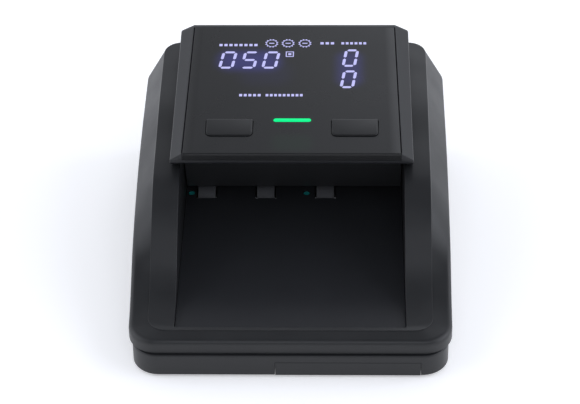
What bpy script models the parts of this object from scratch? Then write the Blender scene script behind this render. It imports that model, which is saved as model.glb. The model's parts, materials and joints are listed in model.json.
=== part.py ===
"""Counterfeit bill detector: a low base, a body with a sunken bill tray between two rising
shoulders, and a hinged head with a display, two keys and the sensors, over a belt drive.

Metres, +Z up, front at -Y. The origin is at the middle of the footprint, on the table.
"""

import math

import bmesh
import bpy
import numpy as np

MM = 0.001

# Overall size, and the thicknesses that all the mouldings share
WIDTH = 120 * MM
DEPTH = 145 * MM
FOOT = 1.3 * MM
WALL = 2.2 * MM
GAP = 0.3 * MM
FAR = 200 * MM

# Base: a shallow pan with a tongue that locates the body
BASE_INSET = 1.3 * MM
BASE_TOP = 10.2 * MM
BASE_FLOOR = 4.2 * MM
BASE_ROUND = 1.4 * MM
BASE_CORNER = 10.1 * MM
BASE_REAR_INSET = 1.7 * MM
TONGUE_TOP = 13.0 * MM
TONGUE_WALL = 1.8 * MM
TONGUE_GAP = 0.8 * MM

# Body: its lower edge, its plan corners, and the heights along its side as (distance from the front, height)
BODY_LOW = 10.5 * MM
BODY_FRONT = 1.2 * MM
BODY_CORNER_FRONT = 11 * MM
BODY_CORNER_REAR = 8 * MM
EDGE_ROUND = 2.4 * MM
EDGE_STEPS = 4
CORNER_STEPS = 7
SIDE_STEPS = 26
LEDGE_INSET = 7.2 * MM
LEDGE_FRONT = 6.5 * MM
LEDGE_CORNER = 7 * MM
SHOULDER = 17.2 * MM
RIM_END = 8.2 * MM
EDGE_HEIGHTS = (
    (0, 16.0 * MM), (8 * MM, 16.0 * MM), (13 * MM, 16.8 * MM), (41 * MM, 29.0 * MM),
    (63 * MM, 34.6 * MM), (88 * MM, 38.6 * MM), (111 * MM, 39.6 * MM), (DEPTH, 39.6 * MM),
)
LEDGE_HEIGHTS = (
    (0, 17.5 * MM), (8 * MM, 17.5 * MM), (14 * MM, 18.3 * MM), (22 * MM, 20.2 * MM),
    (30 * MM, 24.4 * MM), (38 * MM, 30.6 * MM), (46 * MM, 36.8 * MM), (54 * MM, 41.6 * MM),
    (64 * MM, 45.5 * MM), (86 * MM, 48.4 * MM), (106 * MM, 50.9 * MM), (119 * MM, 51.5 * MM),
    (DEPTH, 52.5 * MM),
)
CAVITY_START = 14 * MM
CAVITY_DROP = 2.4 * MM
CAVITY_BEND = 1.4 * MM
CAVITY_STEPS = 16
CAVITY_TAIL = 6.3 * MM
REAR_WALL_TOP = 51.5 * MM
EXIT_LOW = 15.4 * MM
EXIT_HIGH = 22 * MM

# Tray and its parts
TRAY_HALF = WIDTH / 2 - SHOULDER
BED_TOP = 16 * MM
BED_THICK = 2 * MM
BED_GAP = 0.15 * MM
ROLLER_MIDDLES = (-34.6 * MM, -11.2 * MM, 12.5 * MM)
ROLLER_WIDTH = 7 * MM
ROLLER_RADIUS = 6 * MM
WINDOW_GAP = 0.6 * MM
WINDOW_SHORT = 0.18 * MM
SHAFT_RADIUS = 1.5 * MM
SHAFT_Z = 11.4 * MM
FRONT_SHAFT_BEHIND_LIP = 30.4 * MM
SHAFT_SPACING = 33.9 * MM
BUSH_RADIUS = 2.3 * MM
BUSH_WIDTH = 3 * MM
BUSH_INSET = 2.8 * MM
RUNNING = 0.05 * MM
SENSOR_RADIUS = 1.2 * MM
SENSOR_MIDDLES = (-40.6 * MM, 5.1 * MM)
SENSOR_AHEAD = 2.2 * MM

# Drive: motor, pulleys and the two belts
MOTOR_BEHIND_FRONT_SHAFT = 16.9 * MM
MOTOR_Z = 9.1 * MM
MOTOR_SIZE = (24 * MM, 12 * MM, 9 * MM)
MOTOR_SHAFT = 1 * MM
PULLEY_RADIUS = 3.5 * MM
PULLEY_FLANGE = 0.5 * MM
BELT_THICK = 0.8 * MM
BELT_WIDTH = 2 * MM
BELT_TRACK = 3.6 * MM
BELT_INSET = 4.7 * MM

# Head: lip, slope of its top, and its cross-section
HEAD_LENGTH = 77.8 * MM
HEAD_SETBACK = 3.5 * MM
HEAD_REAR_Y = DEPTH - HEAD_SETBACK
HEAD_LIP_Y = HEAD_REAR_Y - HEAD_LENGTH
FRONT_SHAFT_Y = HEAD_LIP_Y + FRONT_SHAFT_BEHIND_LIP
REAR_SHAFT_Y = FRONT_SHAFT_Y + SHAFT_SPACING
MOTOR_Y = FRONT_SHAFT_Y + MOTOR_BEHIND_FRONT_SHAFT
LIP_TOP = 55.8 * MM
LIP_BOTTOM = 51.3 * MM
HEAD_REAR_TOP = 63.4 * MM
SLOPE = math.atan((HEAD_REAR_TOP - LIP_TOP) / HEAD_LENGTH)
PANEL_LENGTH = HEAD_LENGTH / math.cos(SLOPE)
PANEL_INSET_FRONT = 1.3 * MM
PANEL_INSET_REAR = 2.7 * MM
FLANK_OUT_FRONT = 3.4 * MM
FLANK_OUT_REAR = 2.9 * MM
FLANK_DROP = 2.9 * MM
HEAD_STEPS = 14
SKIRT_GAP = 0.4 * MM
POCKET = 1.8 * MM
POCKET_FLOOR = 1.7 * MM
POCKET_END = 2 * MM
WINDOW_EDGE = 5 * MM
FASCIA_THICK = 1.5 * MM
HINGE_Y = HEAD_REAR_Y - 0.5 * MM
HINGE_Z = 54.5 * MM
HINGE_RADIUS = 2.4 * MM
HINGE_PIN = 1.2 * MM
HINGE_FROM_SIDE = 12.8 * MM
LUG_WIDTH = 6 * MM
KNUCKLE_WIDTH = 6 * MM

# Upper bill guide, hanging from the head into the tray
GUIDE_LOW = 19 * MM
GUIDE_HIGH = 50.6 * MM
GUIDE_PLATE = 1.8 * MM
GUIDE_SIDE_GAP = 0.5 * MM
GUIDE_MOUTH = 1.7 * MM
GUIDE_BROW = 13.6 * MM
GUIDE_REAR = 5.5 * MM
SOFFIT = 1.2 * MM
IDLER_RADIUS = 4 * MM
IDLER_SHAFT = 1 * MM
SENSOR_BAR = (64 * MM, 9 * MM, 6 * MM)
SENSOR_BAR_BEHIND = 19.2 * MM
MAGNET_BAR = (40 * MM, 5 * MM, 5 * MM)
MAGNET_BAR_BEHIND = 7.5 * MM

# Panel parts, measured on the sloping panel from its lip edge
KEY_SIZE = (18 * MM, 9.6 * MM)
KEY_X = 24 * MM
KEY_ALONG = 15 * MM
KEY_ABOVE = 0.5 * MM
KEY_CORNER = 2 * MM
KEY_TRAVEL = 0.8 * MM
BAR_SIZE = (14.4 * MM, 1.9 * MM)
BAR_ALONG = 19.6 * MM
BOARD_THICK = 1.5 * MM
BOARD_DROP = 3.9 * MM
BOARD_START = 9 * MM
MODULE_TOP = 2 * MM
TACT_HEIGHT = 0.8 * MM
TACT_SIZE = 6 * MM
MODULES = {
    "amount_display": ((-33 * MM, 45 * MM), (0, 63 * MM)),
    "unit_display": ((18 * MM, 39 * MM), (31 * MM, 63 * MM)),
    "symbol_display": ((-33 * MM, 64.5 * MM), (33 * MM, 70 * MM)),
    "value_display": ((-26 * MM, 33 * MM), (5 * MM, 38.6 * MM)),
}

# Battery, its sliding cover, main board, inlet and switch
COVER_LEFT = -5.5 * MM
COVER_RIGHT = 48.2 * MM
COVER_LENGTH = 56 * MM
COVER_THICK = 1.8 * MM
COVER_FLANGE = 7.2 * MM
COVER_FLANGE_THICK = 2 * MM
BATTERY_SIZE = (44 * MM, 44 * MM, 8.2 * MM)
MAIN_BOARD = (32 * MM, 60 * MM, 1.6 * MM)
MAIN_BOARD_Z = 8 * MM
MAIN_BOARD_FRONT = 14.5 * MM
MAIN_BOARD_FROM_BAY = 3 * MM
STANDOFF = 1.8 * MM
POST_RADIUS = 3.2 * MM
POST_X = 9 * MM
POST_Y = (22 * MM, 76 * MM)
SCREW_RADIUS = 1.2 * MM
SCREW_HEAD = 2.4 * MM
SCREW_HEAD_HEIGHT = 1.8 * MM
FOOT_RADIUS = 3.6 * MM
FOOT_X = 7.5 * MM
FOOT_FRONT = 13 * MM
FOOT_REAR = 14.5 * MM
INLET_SIZE = (12.8 * MM, 9 * MM, 11 * MM)
INLET_FROM_REAR = 36.5 * MM
INLET_Z = 22.5 * MM
INLET_BORE = 3.2 * MM
INLET_DEPTH = 9 * MM
SWITCH_SIZE = (12.4 * MM, 13.6 * MM, 10 * MM)
SWITCH_FROM_REAR = 20 * MM
SWITCH_RIM = 1.2 * MM
ROCKER_PIVOT = 3.3 * MM
ROCKER_BACK = 1.5 * MM

SEGMENTS = 24
SMALL_SEGMENTS = 16
SHARP_ANGLE = math.radians(32)

BLACK = (0.035, 0.036, 0.038)
DARK = (0.018, 0.018, 0.02)
RUBBER = (0.09, 0.09, 0.095)
STEEL = (0.55, 0.56, 0.58)
BOARD_GREEN = (0.03, 0.16, 0.08)
GLOW_GREEN = (0.05, 0.85, 0.4)
GLASS_TEAL = (0.05, 0.3, 0.32)


def back(distance):
    """Y of a point this far behind the front of the base."""
    return distance - DEPTH / 2


def along_curve(points, distance):
    """Height of a smooth curve that never overshoots its points, at a distance from the front."""
    xs, ys = np.array(points).T
    step = np.diff(xs)
    slope = np.diff(ys) / step
    bend = slope[1:] * slope[:-1]
    mean = np.where(bend > 0, 2 * bend / np.where(bend > 0, slope[1:] + slope[:-1], 1), 0)
    tangent = np.concatenate([[slope[0]], mean, [slope[-1]]])
    distance = float(np.clip(distance, xs[0], xs[-1]))
    i = min(int(np.searchsorted(xs, distance, side="right")) - 1, len(step) - 1)
    t = (distance - xs[i]) / step[i]
    rise = (1 + 2 * t) * (1 - t) ** 2 * ys[i] + t * t * (3 - 2 * t) * ys[i + 1]
    return rise + step[i] * (t * (1 - t) ** 2 * tangent[i] - t * t * (1 - t) * tangent[i + 1])


def edge_height(y):
    return along_curve(EDGE_HEIGHTS, y + DEPTH / 2)


def ledge_height(y):
    return along_curve(LEDGE_HEIGHTS, y + DEPTH / 2)


def on_panel(x, along, above):
    """World point of a place on the sloping top of the head."""
    return (
        x,
        back(HEAD_LIP_Y) + along * math.cos(SLOPE) - above * math.sin(SLOPE),
        LIP_TOP + along * math.sin(SLOPE) + above * math.cos(SLOPE),
    )


def material(name, colour, roughness, metallic=0.0):
    made = bpy.data.materials.new(name)
    made.use_nodes = True
    shader = made.node_tree.nodes["Principled BSDF"]
    shader.inputs["Base Color"].default_value = (*colour, 1)
    shader.inputs["Roughness"].default_value = roughness
    shader.inputs["Metallic"].default_value = metallic
    return made


def add(name, points, faces, origin=(0, 0, 0)):
    """Mesh object with its origin at a world point; the points are given in world space."""
    mesh = bpy.data.meshes.new(name)
    moved = np.array(points, float) - np.array(origin, float)
    mesh.from_pydata(moved.tolist(), [], faces)
    body = bmesh.new()
    body.from_mesh(mesh)
    bmesh.ops.recalc_face_normals(body, faces=body.faces)
    body.to_mesh(mesh)
    body.free()
    made = bpy.data.objects.new(name, mesh)
    made.location = origin
    bpy.context.scene.collection.objects.link(made)
    return made


def finish(made, colour, roughness=0.5, metallic=0.0):
    """Gives a node its own material and smooths its round faces."""
    made.data.materials.append(material(made.name, colour, roughness, metallic))
    made.data.shade_smooth()
    made.data.set_sharp_from_angle(angle=SHARP_ANGLE)
    return made


def change(made, other, operation):
    """Boolean with a helper object, which is hidden from the render."""
    other.hide_render = True
    other.display_type = "WIRE"
    modifier = made.modifiers.new(other.name, "BOOLEAN")
    modifier.operation = operation
    modifier.solver = "EXACT"
    modifier.object = other


def cut(made, other):
    change(made, other, "DIFFERENCE")


def join(made, other):
    change(made, other, "UNION")


def loft(name, rings, origin=(0, 0, 0)):
    """Closed body through rings of equally many points, with a flat face on each end."""
    count = len(rings[0])
    points = [point for ring in rings for point in ring]
    faces = [tuple(range(count)), tuple(range((len(rings) - 1) * count, len(rings) * count))]
    for k in range(len(rings) - 1):
        for i in range(count):
            j = (i + 1) % count
            faces.append((k * count + i, k * count + j, (k + 1) * count + j, (k + 1) * count + i))
    return add(name, points, faces, origin)


def box(name, low, high, origin=(0, 0, 0)):
    outline = ((low[0], low[1]), (high[0], low[1]), (high[0], high[1]), (low[0], high[1]))
    return loft(name, [[(x, y, z) for x, y in outline] for z in (low[2], high[2])], origin)


def slab(name, outline, low, high, origin=(0, 0, 0)):
    """Extrusion along X of an outline given as (y, z)."""
    return loft(name, [[(x, y, z) for y, z in outline] for x in (low, high)], origin)


def circle(radius, segments):
    turns = [2 * math.pi * i / segments for i in range(segments)]
    return [(radius * math.cos(t), radius * math.sin(t)) for t in turns]


def rod(name, axis, centre, radius, low, high, segments=SEGMENTS, origin=None):
    """Solid cylinder along axis 0 (X) or 2 (Z); the centre gives its other two coordinates."""
    rings = []
    for end in (low, high):
        ring = []
        for a, b in circle(radius, segments):
            at = [centre[0] + a, centre[1] + b]
            at.insert(axis, end)
            ring.append(tuple(at))
        rings.append(ring)
    return loft(name, rings, origin or (0, 0, 0))


def lathe(name, profile, centre, segments=SEGMENTS):
    """Ring about an X axis at centre = (y, z), from a closed profile of (x, radius)."""
    middle = sum(x for x, _ in profile) / len(profile)
    count = len(profile)
    points = []
    for turn in circle(1, segments):
        points += [(x, centre[0] + r * turn[0], centre[1] + r * turn[1]) for x, r in profile]
    faces = []
    for k in range(segments):
        after = (k + 1) % segments
        for i in range(count):
            j = (i + 1) % count
            faces.append((k * count + i, k * count + j, after * count + j, after * count + i))
    return add(name, points, faces, (middle, *centre))


def tube(name, centre, bore, radius, low, high, segments=SEGMENTS):
    profile = ((low, bore), (low, radius), (high, radius), (high, bore))
    return lathe(name, profile, centre, segments)


def half_outline(half_width, front, rear, corner_front, corner_rear):
    """Right half of a rounded rectangle, front to rear, as (x, y)."""
    points = []
    for i in range(CORNER_STEPS + 1):
        t = math.pi / 2 * i / CORNER_STEPS
        points.append((
            half_width - corner_front + corner_front * math.sin(t),
            front + corner_front - corner_front * math.cos(t),
        ))
    start, end = front + corner_front, rear - corner_rear
    for i in range(1, SIDE_STEPS):
        points.append((half_width, start + (end - start) * i / SIDE_STEPS))
    for i in range(CORNER_STEPS + 1):
        t = math.pi / 2 * i / CORNER_STEPS
        points.append((
            half_width - corner_rear + corner_rear * math.cos(t),
            rear - corner_rear + corner_rear * math.sin(t),
        ))
    return points


def shell_body(name, half_rings):
    """Closed body from rings given by their right halves, mirrored, with ruled ends."""
    count = len(half_rings[0])
    whole = 2 * count
    points = []
    for half in half_rings:
        points += list(half)
        points += [(-x, y, z) for x, y, z in reversed(half)]
    faces = []
    for k in range(len(half_rings) - 1):
        for i in range(whole):
            j = (i + 1) % whole
            faces.append((k * whole + i, k * whole + j, (k + 1) * whole + j, (k + 1) * whole + i))
    for base in (0, (len(half_rings) - 1) * whole):
        for i in range(count - 1):
            faces.append((base + i, base + i + 1, base + whole - 2 - i, base + whole - 1 - i))
    return add(name, points, faces)


def level(outline, height):
    return [(x, y, height) for x, y in outline]


def base_outline(inset):
    return half_outline(
        WIDTH / 2 - BASE_INSET - inset, back(inset), back(DEPTH - BASE_REAR_INSET - inset),
        BASE_CORNER - inset, BASE_CORNER - inset,
    )


def tongue_outline(inset):
    """Outline of the tongue, which stands just inside the body's wall."""
    return half_outline(
        WIDTH / 2 - WALL - inset, back(BODY_FRONT + WALL + inset),
        back(DEPTH - WALL - inset),
        BODY_CORNER_FRONT - WALL - inset, BODY_CORNER_FRONT - inset,
    )


def screw_spots():
    """(x, y) of the four screws that join the base to the body."""
    return [(side * (WIDTH / 2 - POST_X), back(along)) for along in POST_Y for side in (-1, 1)]


def board_spots():
    """(x, y) of the four stand-offs under the main board."""
    middle_x, middle_y = main_board_middle()
    reach_x, reach_y = (size / 2 - 2 * STANDOFF for size in MAIN_BOARD[:2])
    return [(middle_x + a * reach_x, middle_y + b * reach_y) for a in (-1, 1) for b in (-1, 1)]


def main_board_middle():
    return (
        COVER_LEFT - MAIN_BOARD_FROM_BAY - MAIN_BOARD[0] / 2,
        back(MAIN_BOARD_FRONT) + MAIN_BOARD[1] / 2,
    )


def make_base():
    rings = [
        level(base_outline(0.8 * MM), FOOT),
        level(base_outline(0), FOOT + 0.8 * MM),
        level(base_outline(0), BASE_TOP - BASE_ROUND),
        level(base_outline(0.3 * BASE_ROUND), BASE_TOP - 0.3 * BASE_ROUND),
        level(base_outline(BASE_ROUND), BASE_TOP),
        level(tongue_outline(TONGUE_GAP), BASE_TOP),
        level(tongue_outline(TONGUE_GAP), TONGUE_TOP),
    ]
    base = shell_body("base_shell", rings)
    inside = tongue_outline(TONGUE_GAP + TONGUE_WALL)
    cut(base, shell_body("base_hollow", [level(inside, BASE_FLOOR), level(inside, FAR)]))
    for i, (x, y) in enumerate(screw_spots()):
        join(base, rod(f"base_post_{i}", 2, (x, y), POST_RADIUS, BASE_FLOOR - GAP, TONGUE_TOP))
    for i, (x, y) in enumerate(board_spots()):
        top = MAIN_BOARD_Z - GAP
        join(base, rod(f"standoff_{i}", 2, (x, y), STANDOFF, BASE_FLOOR - GAP, top, SMALL_SEGMENTS))
    for i, (x, shaft_y) in enumerate(bush_spots()):
        low = (x - BUSH_WIDTH / 2 - GAP, shaft_y - 2 * BUSH_RADIUS, BASE_FLOOR - GAP)
        high = (x + BUSH_WIDTH / 2 + GAP, shaft_y + 2 * BUSH_RADIUS, SHAFT_Z)
        join(base, box(f"bearing_block_{i}", low, high))
        seat = BUSH_RADIUS + GAP
        cut(base, rod(f"bearing_seat_{i}", 0, (shaft_y, SHAFT_Z), seat, low[0] - WALL, high[0] + WALL))
    end, flange = back(COVER_LENGTH + GAP), back(COVER_FLANGE_THICK + GAP)
    outline = [
        (back(-FAR), -FAR), (end, -FAR), (end, BASE_FLOOR + GAP), (flange, BASE_FLOOR + GAP),
        (flange, COVER_FLANGE + GAP), (back(-FAR), COVER_FLANGE + GAP),
    ]
    cut(base, slab("cover_opening", outline, COVER_LEFT - GAP, COVER_RIGHT + GAP))
    for i, (x, y) in enumerate(screw_spots()):
        cut(base, rod(f"screw_way_{i}", 2, (x, y), SCREW_RADIUS + GAP, 0, FAR, SMALL_SEGMENTS))
        seat = FOOT + GAP + SCREW_HEAD_HEIGHT + GAP
        cut(base, rod(f"screw_seat_{i}", 2, (x, y), SCREW_HEAD + GAP, 0, seat))
    finish(base, BLACK)


def body_surface():
    """Half rings of the body's outside: wall, rounded edge, sloping band, ledge."""
    outer = half_outline(
        WIDTH / 2, back(BODY_FRONT), back(DEPTH), BODY_CORNER_FRONT, BODY_CORNER_REAR
    )
    ledge = half_outline(
        WIDTH / 2 - LEDGE_INSET, back(LEDGE_FRONT), back(DEPTH - GAP),
        LEDGE_CORNER, LEDGE_CORNER,
    )
    edge = [np.array((x, y, edge_height(y))) for x, y in outer]
    top = [np.array((x, y, ledge_height(y))) for x, y in ledge]
    rings = [level(outer, BODY_LOW)]
    for step in range(EDGE_STEPS + 1):
        t = step / EDGE_STEPS
        ring = []
        for low, high in zip(edge, top):
            band = high - low
            length = np.linalg.norm(band)
            turn = math.pi / 2 - math.atan2(band[2], np.linalg.norm(band[:2]))
            reach = min(EDGE_ROUND * math.tan(turn / 2), length / 2)
            start = low - (0, 0, reach)
            end = low + band / length * reach
            ring.append(tuple((1 - t) ** 2 * start + 2 * t * (1 - t) * low + t * t * end))
        rings.append(ring)
    rings.append([tuple(point) for point in top])
    return rings


def shoulder_hollow(name, side):
    """Space inside one shoulder, open below."""
    inner = TRAY_HALF + WALL
    start, end = back(CAVITY_START), back(DEPTH - WALL)
    stations = [start + (end - CAVITY_TAIL - start) * i / CAVITY_STEPS for i in range(CAVITY_STEPS + 1)]
    shrink = [0.0] * len(stations) + [WALL + 3 * MM]
    rings = []
    for y, less in zip(stations + [end], shrink):
        outer = WIDTH / 2 - WALL - less
        bend = WIDTH / 2 - LEDGE_INSET - CAVITY_BEND - less / 2
        wall, roof = edge_height(y) - CAVITY_DROP, ledge_height(y) - CAVITY_DROP
        section = ((inner, 0), (outer, 0), (outer, wall), (bend, roof), (inner, roof))
        rings.append([(side * x, y, z) for x, z in section])
    return loft(name, rings)


def make_body():
    body = shell_body("upper_shell", body_surface())
    for side, label in ((-1, "left"), (1, "right")):
        cut(body, shoulder_hollow(f"shoulder_hollow_{label}", side))
    rear = back(DEPTH - WALL)
    cut(body, box("tray_way", (-TRAY_HALF, back(RIM_END), 0), (TRAY_HALF, rear, FAR)))
    inside = tongue_outline(0)
    cut(body, shell_body("lower_hollow", [level(inside, 0), level(inside, TONGUE_TOP + 0.4 * MM)]))
    slot = TRAY_HALF - 1 * MM
    cut(body, box("exit_slot", (-slot, rear - WALL, EXIT_LOW), (slot, back(DEPTH + WALL), EXIT_HIGH)))
    notch = (TRAY_HALF, back(DEPTH + WALL), FAR)
    cut(body, box("rear_notch", (-TRAY_HALF, rear - WALL, REAR_WALL_TOP), notch))
    for i, (x, y) in enumerate(screw_spots()):
        top = ledge_height(y) - CAVITY_DROP + GAP
        join(body, rod(f"body_boss_{i}", 2, (x, y), POST_RADIUS, TONGUE_TOP + 2 * GAP, top))
        hole = SCREW_RADIUS + GAP / 2
        cut(body, rod(f"boss_hole_{i}", 2, (x, y), hole, 0, top - GAP, SMALL_SEGMENTS))
    for side, label in ((-1, "left"), (1, "right")):
        near = side * (TRAY_HALF - HINGE_FROM_SIDE - LUG_WIDTH)
        far = side * (TRAY_HALF - HINGE_FROM_SIDE)
        low, high = min(near, far), max(near, far)
        hinge = (back(HINGE_Y), HINGE_Z)
        outline = [
            (hinge[0] - HINGE_RADIUS, HINGE_Z), (hinge[0] - HINGE_RADIUS, HINGE_Z - 4 * MM),
            (rear + WALL / 2, HINGE_Z - 10 * MM), (rear + WALL - GAP, HINGE_Z - 10 * MM),
            (rear + WALL - GAP, HINGE_Z - 2 * MM), (hinge[0] + HINGE_RADIUS, HINGE_Z),
        ]
        arch = [(hinge[0] + HINGE_RADIUS * math.cos(t), HINGE_Z + HINGE_RADIUS * math.sin(t))
                for t in [math.pi * i / 8 for i in range(1, 8)]]
        join(body, slab(f"hinge_lug_{label}", outline + arch, low, high))
        cut(body, rod(f"lug_hole_{label}", 0, hinge, HINGE_PIN + RUNNING, low - WALL, high + WALL, SMALL_SEGMENTS))
    edge = WIDTH / 2
    for name, y, size in (("inlet_window", (DEPTH - INLET_FROM_REAR), INLET_SIZE), ("switch_window", (DEPTH - SWITCH_FROM_REAR), SWITCH_SIZE)):
        low = (edge - 2 * WALL, back(y) - size[1] / 2 - GAP, INLET_Z - size[2] / 2 - GAP)
        high = (edge + WALL, back(y) + size[1] / 2 + GAP, INLET_Z + size[2] / 2 + GAP)
        cut(body, box(name, low, high))
    finish(body, BLACK)


def bush_spots():
    """(x, y) of the four bushes that carry the two drive shafts."""
    reach = TRAY_HALF - BUSH_INSET
    return [(side * reach, back(y)) for y in (FRONT_SHAFT_Y, REAR_SHAFT_Y) for side in (-1, 1)]


def make_bed():
    low = (-TRAY_HALF + BED_GAP, back(RIM_END + BED_GAP), BED_TOP - BED_THICK)
    high = (TRAY_HALF - BED_GAP, back(DEPTH - WALL - BED_GAP), BED_TOP)
    bed = box("bill_bed", low, high)
    reach = ROLLER_RADIUS - WINDOW_SHORT
    for row, y in enumerate((FRONT_SHAFT_Y, REAR_SHAFT_Y)):
        for i, x in enumerate(ROLLER_MIDDLES):
            half = ROLLER_WIDTH / 2 + WINDOW_GAP
            window_low = (x - half, back(y) - reach, 0)
            cut(bed, box(f"bed_window_{row}_{i}", window_low, (x + half, back(y) + reach, FAR)))
    for i, x in enumerate(SENSOR_MIDDLES):
        at = (x, back(FRONT_SHAFT_Y - SENSOR_AHEAD))
        cut(bed, rod(f"bed_hole_{i}", 2, at, SENSOR_RADIUS + GAP, 0, FAR, SMALL_SEGMENTS))
        sensor = rod(
            f"entry_sensor_{i + 1}", 2, at, SENSOR_RADIUS, BED_TOP - BED_THICK + GAP, BED_TOP - GAP,
            SMALL_SEGMENTS,
        )
        finish(sensor, GLASS_TEAL, 0.15)
    finish(bed, BLACK, 0.4)


def make_feet_and_screws():
    places = [(side, along) for along in (FOOT_FRONT, DEPTH - FOOT_REAR) for side in (-1, 1)]
    for i, (side, along) in enumerate(places):
        at = (side * (WIDTH / 2 - FOOT_X), back(along))
        finish(rod(f"foot_{i + 1}", 2, at, FOOT_RADIUS, 0, FOOT - GAP), RUBBER, 0.8)
    for i, (x, y) in enumerate(screw_spots()):
        top = ledge_height(y) - CAVITY_DROP - 2 * GAP
        head_low, head_high = FOOT + GAP, FOOT + GAP + SCREW_HEAD_HEIGHT
        rings = []
        for radius, z in ((SCREW_HEAD, head_low), (SCREW_HEAD, head_high), (SCREW_RADIUS, head_high),
                          (SCREW_RADIUS, min(top, 4 * TONGUE_TOP / 3))):
            rings.append([(x + a, y + b, z) for a, b in circle(radius, SMALL_SEGMENTS)])
        finish(loft(f"base_screw_{i + 1}", rings), STEEL, 0.3, 1)


def make_battery():
    y = back(0)
    outline = [
        (y, FOOT), (back(COVER_LENGTH), FOOT), (back(COVER_LENGTH), FOOT + COVER_THICK),
        (y + COVER_FLANGE_THICK, FOOT + COVER_THICK), (y + COVER_FLANGE_THICK, COVER_FLANGE),
        (y, COVER_FLANGE),
    ]
    finish(slab("battery_cover", outline, COVER_LEFT, COVER_RIGHT), BLACK)
    middle = (COVER_LEFT + COVER_RIGHT) / 2
    start = back(BODY_FRONT + WALL + TONGUE_WALL + 2 * MM)
    low = (middle - BATTERY_SIZE[0] / 2, start, BASE_FLOOR + 2 * GAP)
    high = (middle + BATTERY_SIZE[0] / 2, start + BATTERY_SIZE[1], BASE_FLOOR + 2 * GAP + BATTERY_SIZE[2])
    finish(box("battery_pack", low, high), (0.02, 0.06, 0.3), 0.4)


def make_electronics():
    x, y = main_board_middle()
    low = (x - MAIN_BOARD[0] / 2, y - MAIN_BOARD[1] / 2, MAIN_BOARD_Z)
    high = (x + MAIN_BOARD[0] / 2, y + MAIN_BOARD[1] / 2, MAIN_BOARD_Z + MAIN_BOARD[2])
    finish(box("main_board", low, high), BOARD_GREEN, 0.4)
    chip = 5 * MM
    top = MAIN_BOARD_Z + MAIN_BOARD[2] + GAP
    finish(box("control_chip", (x - chip, y - chip, top), (x + chip, y + chip, top + chip / 4)), DARK)
    motor_left = -TRAY_HALF + 2 * BUSH_INSET
    low = (motor_left, back(MOTOR_Y) - MOTOR_SIZE[1] / 2, MOTOR_Z - MOTOR_SIZE[2] / 2)
    high = (motor_left + MOTOR_SIZE[0], low[1] + MOTOR_SIZE[1], low[2] + MOTOR_SIZE[2])
    finish(box("gear_motor", low, high), STEEL, 0.35, 1)


def make_inlet_and_switch():
    edge = WIDTH / 2 - GAP
    low = (edge - INLET_SIZE[0], back(DEPTH - INLET_FROM_REAR) - INLET_SIZE[1] / 2, INLET_Z - INLET_SIZE[2] / 2)
    high = (edge, low[1] + INLET_SIZE[1], low[2] + INLET_SIZE[2])
    inlet = box("power_inlet", low, high)
    centre = (back(DEPTH - INLET_FROM_REAR), INLET_Z)
    cut(inlet, rod("inlet_bore", 0, centre, INLET_BORE, edge - INLET_DEPTH, edge + WALL))
    contact = (edge - INLET_DEPTH - WALL / 2, edge - WALL)
    join(inlet, rod("inlet_contact", 0, centre, MOTOR_SHAFT, *contact, SMALL_SEGMENTS))
    finish(inlet, DARK)
    low = (edge - SWITCH_SIZE[0], back(DEPTH - SWITCH_FROM_REAR) - SWITCH_SIZE[1] / 2, INLET_Z - SWITCH_SIZE[2] / 2)
    high = (edge, low[1] + SWITCH_SIZE[1], low[2] + SWITCH_SIZE[2])
    housing = box("switch_housing", low, high)
    pocket_low = (edge - 2 * ROCKER_PIVOT, low[1] + SWITCH_RIM, low[2] + SWITCH_RIM)
    cut(housing, box("switch_pocket", pocket_low, (edge + WALL, high[1] - SWITCH_RIM, high[2] - SWITCH_RIM)))
    finish(housing, DARK)
    half = SWITCH_SIZE[1] / 2 - SWITCH_RIM - 2.5 * GAP
    pivot = (edge - ROCKER_PIVOT, back(DEPTH - SWITCH_FROM_REAR))
    face = ROCKER_PIVOT - 0.7 * MM
    outline = [
        (-ROCKER_BACK, -half), (face, -half), (face - 0.7 * MM, 0), (face, half), (-ROCKER_BACK, half),
    ]
    levels = (low[2] + SWITCH_RIM + GAP, high[2] - SWITCH_RIM - GAP)
    rings = [[(pivot[0] + x, pivot[1] + y, z) for x, y in outline] for z in levels]
    finish(loft("power_rocker", rings, (*pivot, INLET_Z)), DARK, 0.3)


def belt_track(lane):
    """Middle X of a belt: lane 0 is next to the tray, lane 1 outside it."""
    return -(TRAY_HALF + WALL + BELT_INSET - BELT_TRACK / 2 + lane * BELT_TRACK)


def pulley_profile(lanes, bore):
    """Profile of a flanged pulley with a groove for each lane, as (x, radius)."""
    flange = PULLEY_RADIUS + GAP + BELT_THICK
    half = BELT_TRACK / 2 - GAP / 2
    points = []
    for lane in lanes:
        x = belt_track(lane)
        points += [
            (x + half, flange), (x + half - PULLEY_FLANGE, flange), (x + half - PULLEY_FLANGE, PULLEY_RADIUS),
            (x - half + PULLEY_FLANGE, PULLEY_RADIUS), (x - half + PULLEY_FLANGE, flange), (x - half, flange),
        ]
        if lane != lanes[-1]:
            points += [(x - half, PULLEY_RADIUS - GAP), (x - half - GAP, PULLEY_RADIUS - GAP)]
    return [(points[0][0], bore)] + points + [(points[-1][0], bore)]


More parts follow.
